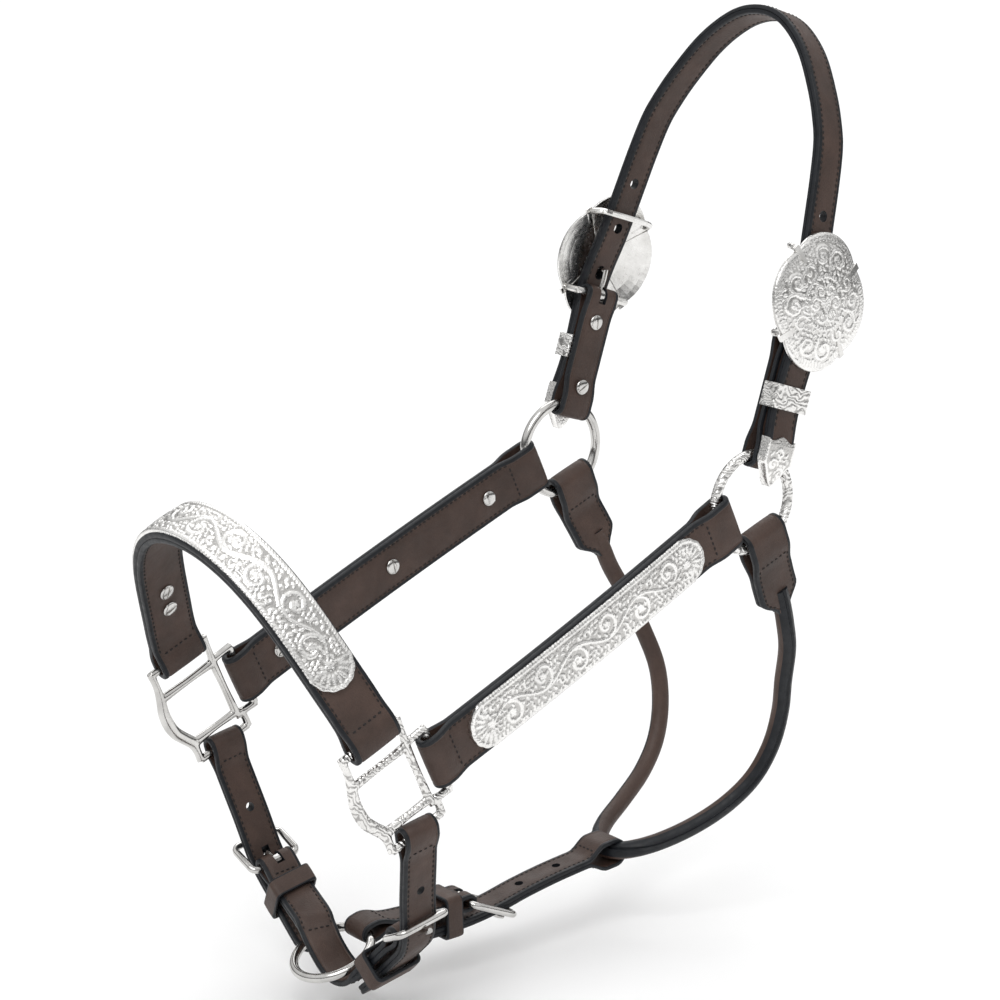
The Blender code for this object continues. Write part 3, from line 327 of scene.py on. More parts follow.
def engraved_material(name, cut_painted_shade, leaf_painted_highlight, use_relief):
    """Bright-cut silver whose colour holds painted light: painted shade darkens the cuts and a
    painted highlight brightens the raised leaves.
    """
    made, tree, shader = new_material(name)
    if use_relief:
        source = add(tree, "ShaderNodeAttribute", attribute_name="relief").outputs["Fac"]
    else:
        source = flowing_lines(tree, 120.0)
    middle = 0.32 if use_relief else 0.25
    # painted shade and painted highlight: the base colour goes dark where the relief is low, in
    # the cuts, and bright where it is high, on the leaves; without relief the curling wave lines
    # take the painted shade
    tone = ramp(tree, source, ((0.02, cut_painted_shade), (middle, (0.82, 0.81, 0.79)),
                               (middle + 0.25, leaf_painted_highlight)))
    patch = ramp(tree, noise(tree, 60.0), ((0.3, grey(0.86)), (0.6, grey(1.0))))
    tree.links.new(multiplied(tree, tone, patch, 1.0), shader.inputs["Base Color"])
    shader.inputs["Metallic"].default_value = 1.0
    gloss(tree, shader, noise(tree, 500.0), ((0.3, 0.20), (0.7, 0.36)))
    cuts = cells(tree, 900.0) if use_relief else source
    first = bump(tree, shader, cuts, 0.30 if use_relief else 0.65, 0.0004)
    bump(tree, shader, noise(tree, 420.0, 5.0), 0.22, 0.0005, first)
    return made


LEATHER_LOOK = leather_material()
EDGE_LOOK = edge_material()
THREAD_LOOK = thread_material()
STEEL_LOOK = metal_material("polished_nickel", (0.70, 0.69, 0.67), (0.50, 0.49, 0.475), 0.10)
SILVER_LOOK = metal_material("polished_silver", (0.86, 0.85, 0.83), (0.66, 0.65, 0.63), 0.16)
ENGRAVED_LOOK = engraved_material("engraved_silver", (0.50, 0.49, 0.475), (0.98, 0.97, 0.95), True)
CUT_LOOK = engraved_material("bright_cut_silver", (0.44, 0.43, 0.42), (0.90, 0.89, 0.87), False)


# --- mesh building ---
def new_object(name, data):
    made = bpy.data.objects.new(name, data)
    bpy.context.scene.collection.objects.link(made)
    return made


def new_mesh(name, verts, faces, materials, face_slots=None, relief=None):
    """A mesh in metres from vertices in millimetres, with its faces turned outwards."""
    mesh = bpy.data.meshes.new(name)
    mesh.from_pydata([tuple(c * MM for c in v) for v in verts], [], faces)
    for look in materials:
        mesh.materials.append(look)
    if face_slots is not None:
        mesh.polygons.foreach_set("material_index", face_slots)
    # the engraving heights, stored for the engraved silver's painted shade in the cuts and painted
    # highlight on the leaves
    if relief is not None:
        shares = [min(1.0, max(0.0, (h + RELIEF_LOW) / RELIEF_SPAN)) for h in relief]
        layer = mesh.attributes.new("relief", "FLOAT", "POINT")
        layer.data.foreach_set("value", np.asarray(shares, np.float32))
    made = bmesh.new()
    made.from_mesh(mesh)
    bmesh.ops.recalc_face_normals(made, faces=made.faces)
    made.to_mesh(mesh)
    made.free()
    return mesh


def soften(mesh, sharp=SHARP_ANGLE):
    mesh.shade_smooth()
    mesh.set_sharp_from_angle(angle=radians(sharp))


def to_piece(name, verts, faces, body, materials, face_slots=None, nodes=(),
             sharp=SHARP_ANGLE, relief=None):
    """A mesh in millimetres becomes a named piece that rides on a body."""
    mesh = new_mesh(name, verts, faces, materials, face_slots, relief)
    soften(mesh, sharp)
    obj = new_object(name, mesh)
    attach(obj, body)
    if nodes:
        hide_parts(*nodes)
    return obj


def bridge(loops, closed, cap=True):
    """Vertices and faces of a skin through loops that have the same count."""
    count = len(loops[0])
    verts = [v for loop in loops for v in loop]
    faces = []
    total = len(loops)
    for i in range(total if closed else total - 1):
        a = i * count
        b = ((i + 1) % total) * count
        for k in range(count):
            n = (k + 1) % count
            faces.append((a + k, a + n, b + n, b + k))
    if cap and not closed:
        faces.append(tuple(range(count))[::-1])
        faces.append(tuple((total - 1) * count + k for k in range(count)))
    return verts, faces


def strap_section(width, thick, inset, doubled):
    """Half of a strap's outline as (across, out, slot), from its outer face round.

    A groove for the stitching runs inside each edge. A doubled strap has the line
    between its two layers along the middle of its edge.
    """
    h = width / 2
    t = thick / 2
    r = min(0.9, t * 0.62)
    fit = min(1.0, h / (inset + 3.2)) if inset else 0.0
    i = inset * fit
    g = GROOVE_DEPTH if inset and fit > 0.8 else 0.0
    face = [(0.0, t + 0.10, LEATHER), ((h - i) * 0.5, t + 0.06, LEATHER)]
    if g:
        face += [(h - i - 0.75, t, LEATHER), (h - i, t - g, LEATHER), (h - i + 0.75, t, LEATHER)]
    else:
        face += [(h * 0.70, t, LEATHER), (h * 0.76, t, LEATHER), (h * 0.82, t, LEATHER)]
    face += [(h - r * 1.15, t - 0.05, EDGE), (h - r * 0.42, t - r * 0.26, EDGE),
             (h - r * 0.06, t - r * 0.85, EDGE)]
    if doubled:
        face += [(h, 0.22, EDGE), (h - 0.55, 0.0, EDGE)]
        half = face + [(v, -o, s) for v, o, s in reversed(face[:-1])]
    else:
        half = face + [(h, -t * 0.2, EDGE), (h - 0.1, -t + 0.35, EDGE),
                       (h - 0.45, -t, LEATHER), (0.0, -t, LEATHER)]
    return half


def full_section(width, thick, inset, doubled):
    half = strap_section(width, thick, inset, doubled)
    return half + [(-v, o, s) for v, o, s in reversed(half[1:-1])]


def segment_slots(section):
    """Which material each face between neighbouring outline points takes."""
    count = len(section)
    return [EDGE if EDGE in (section[k][2], section[(k + 1) % count][2])
            and min(abs(section[k][0]), abs(section[(k + 1) % count][0])) > 0 else LEATHER
            for k in range(count)]


def sweep(name, frames, thick, inset, nodes=(), doubled=False, closed=False, body=ROOT):
    """A strap through frames of (centre, side, face direction, width)."""
    loops = []
    pattern = segment_slots(full_section(frames[0][3], thick, inset, doubled))
    for centre, side, normal, width in frames:
        section = full_section(width, thick, inset, doubled)
        loops.append([centre + side * v + normal * o for v, o, _ in section])
    verts, faces = bridge(loops, closed)
    spans = len(frames) if closed else len(frames) - 1
    slots = pattern * spans + ([] if closed else [EDGE, EDGE])
    return to_piece(name, verts, faces, body, (LEATHER_LOOK, EDGE_LOOK), slots, nodes)


def width_at(width, distance):
    return width(distance) if callable(width) else width


def strap_profile(length, thick, eye_start=None, eye_end=None):
    """Half thickness along a strap whose ends may fold. An eye is (bulge, straight)."""
    taper = 13.0
    plain = thick / 2

    def end(distance, eye):
        if eye is None:
            return plain
        bulge, straight = eye
        return plain + (bulge - plain) * (1 - ease((distance - straight) / taper))

    def half_thick(distance):
        if distance < length / 2:
            return end(distance, eye_start)
        return end(length - distance, eye_end)

    return half_thick


def fold_frames(route, across, half, ply, width, start=None, end=None, step=2.4):
    """One layer's middle as it runs along a strap, round its folds and back."""
    first = start[0] if start else 0.0
    last = route.length - (end[0] if end else 0.0)
    out = []
    back = []
    for d in spaced(first, last, step):
        centre, side, normal = route.frame(d, across)
        lift = half(d) - ply / 2
        wide = width_at(width, d)
        out.append((centre + normal * lift, side, normal, wide))
        back.append((centre - normal * lift, side, -normal, wide))

    def turn(d, sign, bulge):
        centre, side, normal = route.frame(d, across)
        tangent = route.along(d) * sign
        wide = width_at(width, d)
        frames = []
        for k in range(1, 12):
            a = pi * k / 12
            way = normal * cos(a) * sign + tangent * sin(a)
            frames.append((centre + way * (bulge - ply / 2), side, way, wide))
        return frames

    if start and end:
        return out + turn(last, 1, end[0]) + back[::-1] + turn(first, -1, start[0])
    if start:
        return out[::-1] + turn(first, -1, start[0])[::-1] + back
    return out + turn(last, 1, end[0]) + back[::-1]


# --- stitching ---
class Thread:
    """Collects the stitches of one strap, and makes them one piece."""

    profile = ((-1.1, 0.16, -0.36), (-0.8, 0.44, -0.12), (0.0, 0.54, 0.06), (0.8, 0.44, -0.12),
               (1.1, 0.16, -0.36))

    def __init__(self):
        self.verts = []
        self.faces = []

    def stitch(self, centre, along, normal):
        across = along.cross(normal).normalized()
        loops = []
        for s, r, lift in self.profile:
            middle = centre + along * s + normal * lift
            loops.append([middle + (across * cos(a) + normal * sin(a)) * r
                          for a in (2 * pi * k / 6 for k in range(6))])
        verts, faces = bridge(loops, False)
        base = len(self.verts)
        self.verts += verts
        self.faces += [tuple(base + i for i in face) for face in faces]

    def row(self, points):
        """Stitches along a surface line of (point, normal)."""
        lengths = [0.0]
        for (a, _), (b, _) in zip(points, points[1:]):
            lengths.append(lengths[-1] + (b - a).length)
        count = int(lengths[-1] // STITCH_PITCH)
        spare = (lengths[-1] - count * STITCH_PITCH) / 2
        for k in range(count):
            d = spare + STITCH_PITCH * (k + 0.5)
            i = min(max(int(np.searchsorted(lengths, d)), 1), len(points) - 1)
            (a, na), (b, nb) = points[i - 1], points[i]
            t = (d - lengths[i - 1]) / max(lengths[i] - lengths[i - 1], 1e-6)
            self.stitch(a.lerp(b, t), (b - a).normalized(), na.lerp(nb, t).normalized())

    def along(self, route, across, half, width, start, end, inset):
        """Rows inside both edges of a strap, on both of its faces."""
        for sign in (1, -1):
            for edge in (1, -1):
                points = []
                for d in spaced(start, end, 1.6):
                    centre, side, normal = route.frame(d, across)
                    v = (width_at(width, d) / 2 - inset) * edge
                    lift = half(d) - GROOVE_DEPTH + 0.12
                    points.append((centre + side * v + normal * sign * lift, normal * sign))
                self.row(points)

    def crossing(self, route, across, half, width, d, inset):
        """A row straight across a strap, on both of its faces."""
        for sign in (1, -1):
            centre, side, normal = route.frame(d, across)
            reach = width / 2 - inset
            self.row([(centre + side * v + normal * sign * (half(d) + 0.10), normal * sign)
                      for v in spaced(-reach, reach, 1.5)])

    def piece(self, name):
        to_piece(name, self.verts, self.faces, ROOT, (THREAD_LOOK,), sharp=60.0)


def stitched(name, route, across, half, width, spans, inset=STITCH_INSET, crossed=2):
    """Rows inside both edges over each span, and a row across at its ends."""
    thread = Thread()
    for start, end in spans:
        thread.along(route, across, half, width, start, end, inset)
        for d in (start, end)[:crossed]:
            thread.crossing(route, across, half, width_at(width, d), d, inset)
    thread.piece(name)


def placing(origin, a_way, b_way, deep_way):
    """Where a flat outline and a depth lie in the world."""
    return lambda a, b, deep: origin + a_way * a + b_way * b + deep_way * deep


def cut(target, verts, faces):
    """Cut a closed form out of a piece. The cut walls take the edge paint."""
    looks = (LEATHER_LOOK, EDGE_LOOK)
    tool = new_object("cutter", new_mesh("cutter", verts, faces, looks, [EDGE] * len(faces)))
    modifier = target.modifiers.new("cut", "BOOLEAN")
    modifier.operation = "DIFFERENCE"
    modifier.solver = "EXACT"
    modifier.object = tool
    bpy.context.view_layer.update()
    shaped = bpy.data.meshes.new_from_object(
        target.evaluated_get(bpy.context.evaluated_depsgraph_get()))
    target.modifiers.remove(modifier)
    target.data = shaped
    soften(shaped)
    bpy.data.objects.remove(tool, do_unlink=True)


def prism(outline, place, low, high):
    return bridge([[place(a, b, w) for a, b in outline] for w in (low, high)], False)


def circle(radius, count, tall=0.0):
    points = []
    for k in range(count):
        a = 2 * pi * (k + 0.5) / count
        shift = tall if sin(a) > 0 else -tall
        points.append((radius * cos(a), radius * sin(a) + shift))
    return points


def wire_loops(points, radius, sides, closed):
    points = [Vector(p) for p in points]
    count = len(points)
    loops = []
    normal = None
    for i, point in enumerate(points):
        before = points[i - 1] if (closed or i) else point
        after = points[(i + 1) % count] if (closed or i < count - 1) else point
        tangent = (after - before).normalized()
        if normal is None:
            helper = X_AXIS if abs(tangent.x) < 0.8 else Vector((0.0, 0.0, 1.0))
            normal = tangent.cross(helper).normalized()
        normal = (normal - tangent * normal.dot(tangent)).normalized()
        binormal = tangent.cross(normal)
        size = radius(i) if callable(radius) else radius
        loops.append([point + size * (normal * cos(a) + binormal * sin(a))
                      for a in (2 * pi * k / sides for k in range(sides))])
    return loops


def wire(name, points, radius, body, look, nodes=(), sides=20, closed=False):
    verts, faces = bridge(wire_loops(points, radius, sides, closed), closed)
    return to_piece(name, verts, faces, body, (look,), nodes=nodes)


def circle_points(centre, axis, radius, count):
    axis = Vector(axis).normalized()
    helper = Vector((0.0, 0.0, 1.0)) if abs(axis.z) < 0.9 else Vector((0.0, 1.0, 0.0))
    u = axis.cross(helper).normalized()
    v = axis.cross(u)
    return [Vector(centre) + radius * (u * cos(t) + v * sin(t))
            for t in (2 * pi * k / count for k in range(count))]


# --- crown ---
TIP_UP = 13.0
CROWN_SIDE = ((88.2, TIP_UP), (89.6, 23.0), (89.5, 33.0), (87.6, 47.0), (87.2, 60.0),
              (88.0, 75.0), (88.9, 90.0), (86.9, 106.0), (82.6, 124.0), (79.6, 141.0),
              (77.4, 155.0), (74.4, 174.0), (70.4, 193.0), (65.2, 205.5), (56.2, 221.0),
              (41.0, 241.0), (24.0, 254.5), (8.5, 260.3))
BAR_UP = 90.0
HOLES_UP = (BAR_UP + 12.7, BAR_UP + 12.7 + HOLE_PITCH, BAR_UP + 12.7 + 2 * HOLE_PITCH)
CHAPE_SCREWS = (("lower", 36.7, 2.0), ("upper", 74.5, 0.0))
TIP_LENGTH = 25.0


def crown_x(up):
    for (x0, u0), (x1, u1) in zip(CROWN_SIDE, CROWN_SIDE[1:]):
        if u0 <= up <= u1:
            return x0 + (x1 - x0) * (up - u0) / (u1 - u0)
    return 0.0


def tip_narrow(rise):
    """How wide the pointed end of the crown strap is, for a height above its point."""
    share = min(1.0, max(0.0, rise) / 13.0)
    return max(0.06, sqrt(share) * (0.55 + 0.45 * share))


def make_crown_strap():
    near = [CROWN.at(x, 0.0, up) for x, up in CROWN_SIDE]
    off = [CROWN.at(-x, 0.0, up) for x, up in reversed(CROWN_SIDE)]
    route = Route(near + off, 6)
    frames = []
    for d in spaced(0.0, route.length, 2.2):
        width = CROWN_WIDTH * tip_narrow(min(d, route.length - d) + 0.6)
        frames.append((*route.frame(d, CROWN.rear), width))
    strap = sweep("crown_strap_leather", frames, CROWN_THICK, STITCH_INSET, ("crown_strap",),
                  doubled=True)
    for _, s in SIDES:
        for up in HOLES_UP:
            x = crown_x(up) * s
            tall = 1.3 if up == HOLES_UP[0] else 0.2
            place = placing(CROWN.at(x, 0.0, up), CROWN.rear, CROWN.up, X_AXIS)
            cut(strap, *prism(circle(HOLE_RADIUS, 24, tall), place, -7, 7))
    stitched("crown_strap_stitching", route, CROWN.rear, lambda d: CROWN_THICK / 2, CROWN_WIDTH,
             ((28.0, route.length - 28.0),), crossed=0)


def make_chape(side, s):
    low = RING_MEAN_RADIUS - RING_WIRE - GAP - CHAPE_PLY - 2.8
    bar = BUCKLE_WIRE + GAP
    high = BAR_UP + bar + CHAPE_PLY
    ring_eye = (RING_WIRE + GAP + CHAPE_PLY, 12.0)
    bar_eye = (bar + CHAPE_PLY, 6.0)
    route = Route([CROWN.at(RING_X * s, 0.0, low), CROWN.at(RING_X * s, 0.0, high)], 8)
    half = strap_profile(route.length, 2 * CHAPE_PLY + CHAPE_SLIT, ring_eye, bar_eye)
    frames = fold_frames(route, CROWN.rear, half, CHAPE_PLY, CHAPE_WIDTH, ring_eye, bar_eye)
    chape = sweep(side + "_crown_chape_leather", frames, CHAPE_PLY, STITCH_INSET,
                  (side + "_crown_chape",), closed=True)
    place = placing(CROWN.at(RING_X * s, 0.0, 0.0), X_AXIS * s, CROWN.up, CROWN.rear)
    slot = [(-7, BAR_UP - 4.6), (7, BAR_UP - 4.6), (7, high + 2), (-7, high + 2)]
    cut(chape, *prism(slot, place, -2.4, 2.4))


# --- cheeks ---
CHEEK_FOLD = 6.0
CHEEK_END = 232.6
CHEEK_EYE = (SLOT_EYE + 2.6, 8.5)
CHEEK_RING_EYE = (RING_WIRE + GAP + 3.1, 16.0)
CHEEK_SCREWS = (38.4, 120.7, 192.3)
PLATE_WIDE = 26.0
CHEEK_PLATE = (33.0, 203.0)
SILVER_THICK = 1.5


def cheek_point(s, rear, up=0.0, outwards=0.0):
    t = (rear - CHEEK_FOLD) / (CHEEK_END - CHEEK_FOLD)
    x = SQUARE_X + (RING_X + 1.0 - SQUARE_X) * t * t + 1.3 * sin(pi * t) + outwards
    return HEAD.at(s * x, rear, up - CHEEK_DROP + 1.2)


def make_cheek_strap(side, s):
    marks = spaced(CHEEK_FOLD, CHEEK_END, 38.0)
    route = Route([cheek_point(s, mark) for mark in marks], 8)
    half = strap_profile(route.length, CHEEK_THICK, CHEEK_EYE, CHEEK_RING_EYE)
    ply = CHEEK_THICK / 2 - 0.04
    frames = fold_frames(route, HEAD.up, half, ply, CHEEK_WIDTH, CHEEK_EYE, CHEEK_RING_EYE)
    sweep(side + "_cheek_strap_leather", frames, ply, STITCH_INSET, (side + "_cheek_strap",),
          closed=True)
    span = (CHEEK_EYE[1] + 8.0, route.length - CHEEK_RING_EYE[1] - 6.0)
    stitched(side + "_cheek_strap_stitching", route, HEAD.up, half, CHEEK_WIDTH, (span,))


# --- noseband ---
NOSE_REAR = -15.3
NOSE_SIDE = ((88.0, 9.2), (88.1, 15.8), (87.2, 24.0), (83.0, 36.0), (77.6, 48.0),
             (72.2, 60.0), (66.4, 72.5), (59.6, 85.0), (50.0, 98.0), (37.0, 109.5),
             (19.5, 118.0))
NOSE_TOP = 120.8
NOSE_EYE = (SLOT_EYE + 2.6, 8.5)
NOSE_SCREWS = (("lower", 50.0), ("upper", 62.5))
NOSE_PLATE_END = 43.5


def nose_route():
    near = [HEAD.at(x, NOSE_REAR, up) for x, up in NOSE_SIDE]
    off = [HEAD.at(-x, NOSE_REAR, up) for x, up in reversed(NOSE_SIDE)]
    return Route(near + [HEAD.at(0.0, NOSE_REAR, NOSE_TOP)] + off, 6)


def height_in_head(point):
    return (point - HEAD.origin).dot(HEAD.up)


def nose_outwards(route, distance):
    normal = HEAD.rear.cross(route.along(distance)).normalized()
    middle = HEAD.at(0.0, NOSE_REAR, 40.0)
    return normal if normal.dot(route.at(distance) - middle) > 0 else -normal


def make_noseband():
    route = nose_route()
    half = strap_profile(route.length, CHEEK_THICK, NOSE_EYE, NOSE_EYE)
    ply = CHEEK_THICK / 2 - 0.04
    frames = fold_frames(route, HEAD.rear, half, ply, CHEEK_WIDTH, NOSE_EYE, NOSE_EYE)
    sweep("noseband_leather", frames, ply, STITCH_INSET, ("noseband",), closed=True)
    start = NOSE_EYE[1] + 8.0
    stitched("noseband_stitching", route, HEAD.rear, half, CHEEK_WIDTH,
             ((start, route.length - start),))


# --- chin ---
CHIN_DROP = ((88.0, 6.4), (88.0, 0.0), (85.6, -12.0), (81.2, -26.0), (76.6, -40.0),
             (73.0, -53.0), (69.9, -63.0))
CHIN_BILLET_END = {
    "near": ((64.7, -72.5), (56.6, -80.3), (47.0, -88.8), (37.8, -97.2), (29.0, -104.8),
             (21.8, -109.8)),
    "off": ((64.4, -72.0), (56.8, -79.6), (46.5, -87.5), (34.0, -97.0), (24.0, -104.0)),
}
CHIN_STRAP = ((62.9, -60.5, 0.0), (56.0, -70.2, -0.5), (44.6, -81.0, -4.0),
              (35.0, -90.0, -7.0), (27.0, -97.4, -9.5), (20.0, -102.4, -10.5),
              (12.0, -104.5, -11.0), (5.0, -104.0, -11.0), (-0.5, -100.5, -11.0),
              (-4.5, -96.0, -11.0), (-9.0, -91.0, -10.5), (-15.5, -86.3, -8.5),
              (-23.0, -83.0, -6.0), (-33.0, -79.5, -4.0), (-44.0, -75.2, -2.0),
              (-56.0, -67.9, -0.5), (-63.6, -60.9, 0.0))
CHIN_BUCKLE_BAR = (60.0, -64.4)
CHIN_EYE = (SLOT_EYE + 2.3, 8.0)
CHIN_SINGLE = 3.0
SPARE_HOLE = (78.2, -35.7)
CHIN_FRAME = (17.5, 8.6)
CHIN_KEEPER_X = {"near": 41.0, "off": 45.5}


def chin_rearward(up):
    return -0.2 * max(0.0, -76.0 - up) - 0.15 * max(0.0, -104.0 - up)


def chin_billet_route(side, s):
    points = CHIN_DROP + CHIN_BILLET_END[side]
    return Route([CHIN.at(s * x, chin_rearward(up), up) for x, up in points], 6)


def pointed(width, length, tip=9.0):
    """A strap's width that narrows to a rounded point at its far end."""
    def at(distance):
        left = length - distance
        if left >= tip:
            return width
        return width * max(0.16, sqrt(1 - (1 - left / tip) ** 2))
    return at


def chin_frame_direction(s):
    x, up = CHIN_FRAME
    return (X_AXIS * s * x + CHIN.up * up).normalized()


def tongue_window(target, pivot, direction, across, reach, s):
    """The hole in a billet that a tongue goes through. It widens away from the bar."""
    place = placing(pivot, direction, across.cross(direction) * s, across)
    corners = ((2.5, -2.8), (reach, -5.4), (reach, 5.4), (2.5, 2.8))
    cut(target, *prism(corners, place, -2.3, 2.3))


def fold_slot(target, pivot, direction, across):
    """The slot in a fold that lets a tongue reach the buckle's bar."""
    place = placing(pivot, direction, across.cross(direction), across)
    corners = ((-4.6, -6.5), (12.0, -6.5), (12.0, 6.5), (-4.6, 6.5))
    cut(target, *prism(corners, place, -2.4, 2.4))


def make_chin_billet(side, s):
    route = chin_billet_route(side, s)
    half = strap_profile(route.length, CHIN_BILLET_THICK, CHIN_EYE)
    ply = CHIN_BILLET_THICK / 2 - 0.04
    width = pointed(CHIN_WIDTH, route.length)
    frames = fold_frames(route, CHIN.rear, half, ply, width, CHIN_EYE, step=1.8)
    strap = sweep(side + "_chin_billet_leather", frames, ply, NARROW_INSET,
                  (side + "_chin_billet",))
    place = placing(CHIN.at(s * SPARE_HOLE[0], 0.0, SPARE_HOLE[1]), CHIN.rear, CHIN.up, X_AXIS)
    cut(strap, *prism(circle(HOLE_RADIUS - 0.4, 20), place, -9, 9))
    pivot = CHIN.at(s * CHIN_BUCKLE_BAR[0], 0.0, CHIN_BUCKLE_BAR[1])
    tongue_window(strap, pivot, chin_frame_direction(s), CHIN.rear, 11.0, s)
    stitched(side + "_chin_billet_stitching", route, CHIN.rear, half, CHIN_WIDTH,
             ((CHIN_EYE[1] + 7.0, route.length - 10.0),), NARROW_INSET, 1)


def chin_strap_route():
    return Route([CHIN.at(x, rear, up) for x, up, rear in CHIN_STRAP], 6)


def make_chin_strap():
    route = chin_strap_route()
    eye = (BUCKLE_WIRE + GAP + 2.6, 7.0)
    double = strap_profile(route.length, CHIN_STRAP_THICK, eye, eye)

    def half(distance):
        x = route.at(distance).x
        beyond = x - 24.0 if x > 0 else -17.0 - x
        single = CHIN_SINGLE / 2
        return single + (double(distance) - single) * ease(beyond / 4.0)

    ply = CHIN_STRAP_THICK / 2 - 0.04
    frames = fold_frames(route, CHIN.rear, half, ply, CHIN_WIDTH, eye, eye, step=1.8)
    strap = sweep("chin_strap_leather", frames, ply, NARROW_INSET, ("chin_strap",), closed=True)
    for _, s in SIDES:
        pivot = CHIN.at(s * CHIN_BUCKLE_BAR[0], 0.0, CHIN_BUCKLE_BAR[1])
        fold_slot(strap, pivot, chin_frame_direction(s), CHIN.rear)
    stops = [route.nearest(lambda p, x=x: p.x < x) for x in (22.0, -14.0)]
    stitched("chin_strap_stitching", route, CHIN.rear, half, CHIN_WIDTH,
             ((14.0, stops[0]), (stops[1], route.length - 14.0)), NARROW_INSET)


KEEPER_WALL = 2.0
LEATHER_KEEPER_LENGTH = 11.0


def leather_keeper(name, node, first, second, start, across, width, thick):
    """A band sewn round two straps, at a distance along the first of them."""
    point = first.at(start)
    along = first.along(start)
    nearest = min(range(1, len(second.points) - 1),
                  key=lambda i: (second.points[i] - point).length)
    partner = second.points[nearest]
    beside = (second.points[nearest + 1] - second.points[nearest - 1]).normalized()
    if beside.dot(along) < 0:
        beside = -beside
    along = (along + beside).normalized()
    away = partner - point
    sideways = away.dot(across)
    away = away - along * away.dot(along) - across * sideways
    middle = point + away / 2 + across * sideways / 2
    normal = away.normalized()
    reach = (width + abs(sideways)) / 2 + 0.8 + KEEPER_WALL / 2
    low = -away.length / 2 - thick[0] - KEEPER_WALL / 2
    high = away.length / 2 + thick[1] + KEEPER_WALL / 2
    corner = 2.4
    frames = []
    corners = ((reach - corner, high - corner, 0), (corner - reach, high - corner, 90),
               (corner - reach, low + corner, 180), (reach - corner, low + corner, 270))
    for a, b, turn in corners:
        for k in range(7):
            angle = radians(turn + 15 * k)
            way = across * cos(angle) + normal * sin(angle)
            frames.append((middle + across * a + normal * b + way * corner, along, way,
                           LEATHER_KEEPER_LENGTH))
    sweep(name, frames, KEEPER_WALL, 0.0, (node,), closed=True)


def make_chin_keeper(side, s):
    strap = chin_strap_route()
    start = strap.nearest(lambda p: p.x < s * CHIN_KEEPER_X[side])
    leather_keeper(side + "_chin_keeper_leather", side + "_chin_keeper", strap,
                   chin_billet_route(side, s), start, CHIN.rear, CHIN_WIDTH,
                   (CHIN_STRAP_THICK / 2 + 1.5, CHIN_BILLET_THICK / 2 + 1.3))


def buckle_frame(name, node, pivot, direction, across, length, inner=BUCKLE_INNER):
    half = inner / 2 + BUCKLE_WIRE
    corner = 3.6
    points = []
    corners = ((half - corner, corner, -90), (half - corner, length - corner, 0),
               (corner - half, length - corner, 90), (corner - half, corner, 180))
    for a, b, turn in corners:
        for k in range(9):
            angle = radians(turn + 90 * k / 8)
            points.append(pivot + across * (a + corner * cos(angle))
                          + direction * (b + corner * sin(angle)))
    wire(name, points, BUCKLE_WIRE, ROOT, STEEL_LOOK, (node,), closed=True)


# --- throat ---
TAB_TOP = RING_MEAN_RADIUS - RING_WIRE - GAP - 3.2 - 5.8
TAB_BOTTOM = 71.0
THROAT_SIDE = ((77.6, 257.0, 34.0), (76.2, 261.5, 24.0), (74.0, 266.5, 11.0),
               (68.6, 273.5, -5.0), (59.2, 280.0, -27.0), (52.4, 284.6, -48.0),
               (47.2, 283.0, -69.0), (41.8, 274.8, -88.0), (35.8, 259.5, -102.8),
               (29.2, 239.5, -113.6), (21.0, 219.5, -121.0), (10.5, 206.2, -125.3))
KNOT = (0.0, 202.0, -126.5)


def make_throat_strap():
    near = [from_square(x, y, z) for x, y, z in THROAT_SIDE]
    off = [from_square(-x, y, z) for x, y, z in reversed(THROAT_SIDE)]
    route = Route(near + [from_square(*KNOT)] + off, 6)
    loops = []
    profile = []
    for k in range(28):
        a = 2 * pi * k / 28
        off_seam = min(a, 2 * pi - a)
        radius = ROLL_RADIUS * (1.0 + 0.07 * cos(off_seam))
        if off_seam < 0.12:
            radius = ROLL_RADIUS * 0.86
        profile.append((a, radius, EDGE if off_seam < 1.15 else LEATHER))
    marks = spaced(0.0, route.length, 2.4)
    for d in marks:
        tangent = route.along(d)
        point = route.at(d)
        blend = max(-1.0, min(1.0, point.x / 22.0))
        outward = Vector((blend, 0.0, 0.0)) + Vector((0.0, -0.55, 0.55)) * (1.2 - abs(blend))
        outward = (outward - tangent * outward.dot(tangent)).normalized()
        beside = tangent.cross(outward)
        loops.append([point + (outward * cos(a) + beside * sin(a)) * r for a, r, _ in profile])
    verts, faces = bridge(loops, False)
    pattern = [EDGE if EDGE == profile[k][2] and EDGE == profile[(k + 1) % 28][2] else LEATHER
               for k in range(28)]
    slots = pattern * (len(marks) - 1) + [EDGE, EDGE]
    to_piece("throat_roll_leather", verts, faces, ROOT, (LEATHER_LOOK, EDGE_LOOK),
             slots, ("throat_strap",))
    for side, s in SIDES:
        eye = (RING_WIRE + GAP + 3.2, 15.5)
        stops = ((RING_X, -TAB_TOP, 0.0), (RING_X - 0.3, -38.0, 1.0),
                 (78.5, -52.0, 2.5), (75.8, -TAB_BOTTOM, 5.0))
        tab = Route([TAB.at(s * x, rear, up) for x, up, rear in stops], 6)
        half = strap_profile(tab.length, 6.4, eye)

        def width(d, tab=tab):
            narrow = ease((d - (tab.length - 13.0)) / 13.0)
            return TAB_WIDTH + (1.7 * ROLL_RADIUS - TAB_WIDTH) * narrow

        ply = 3.16
        frames = fold_frames(tab, TAB.rear, half, ply, width, eye, step=1.8)
        sweep(side + "_throat_tab_leather", frames, ply, STITCH_INSET)
        stitched(side + "_throat_tab_stitching", tab, TAB.rear, half, width,
                 ((eye[1] + 6.0, tab.length - 5.0),), crossed=1)


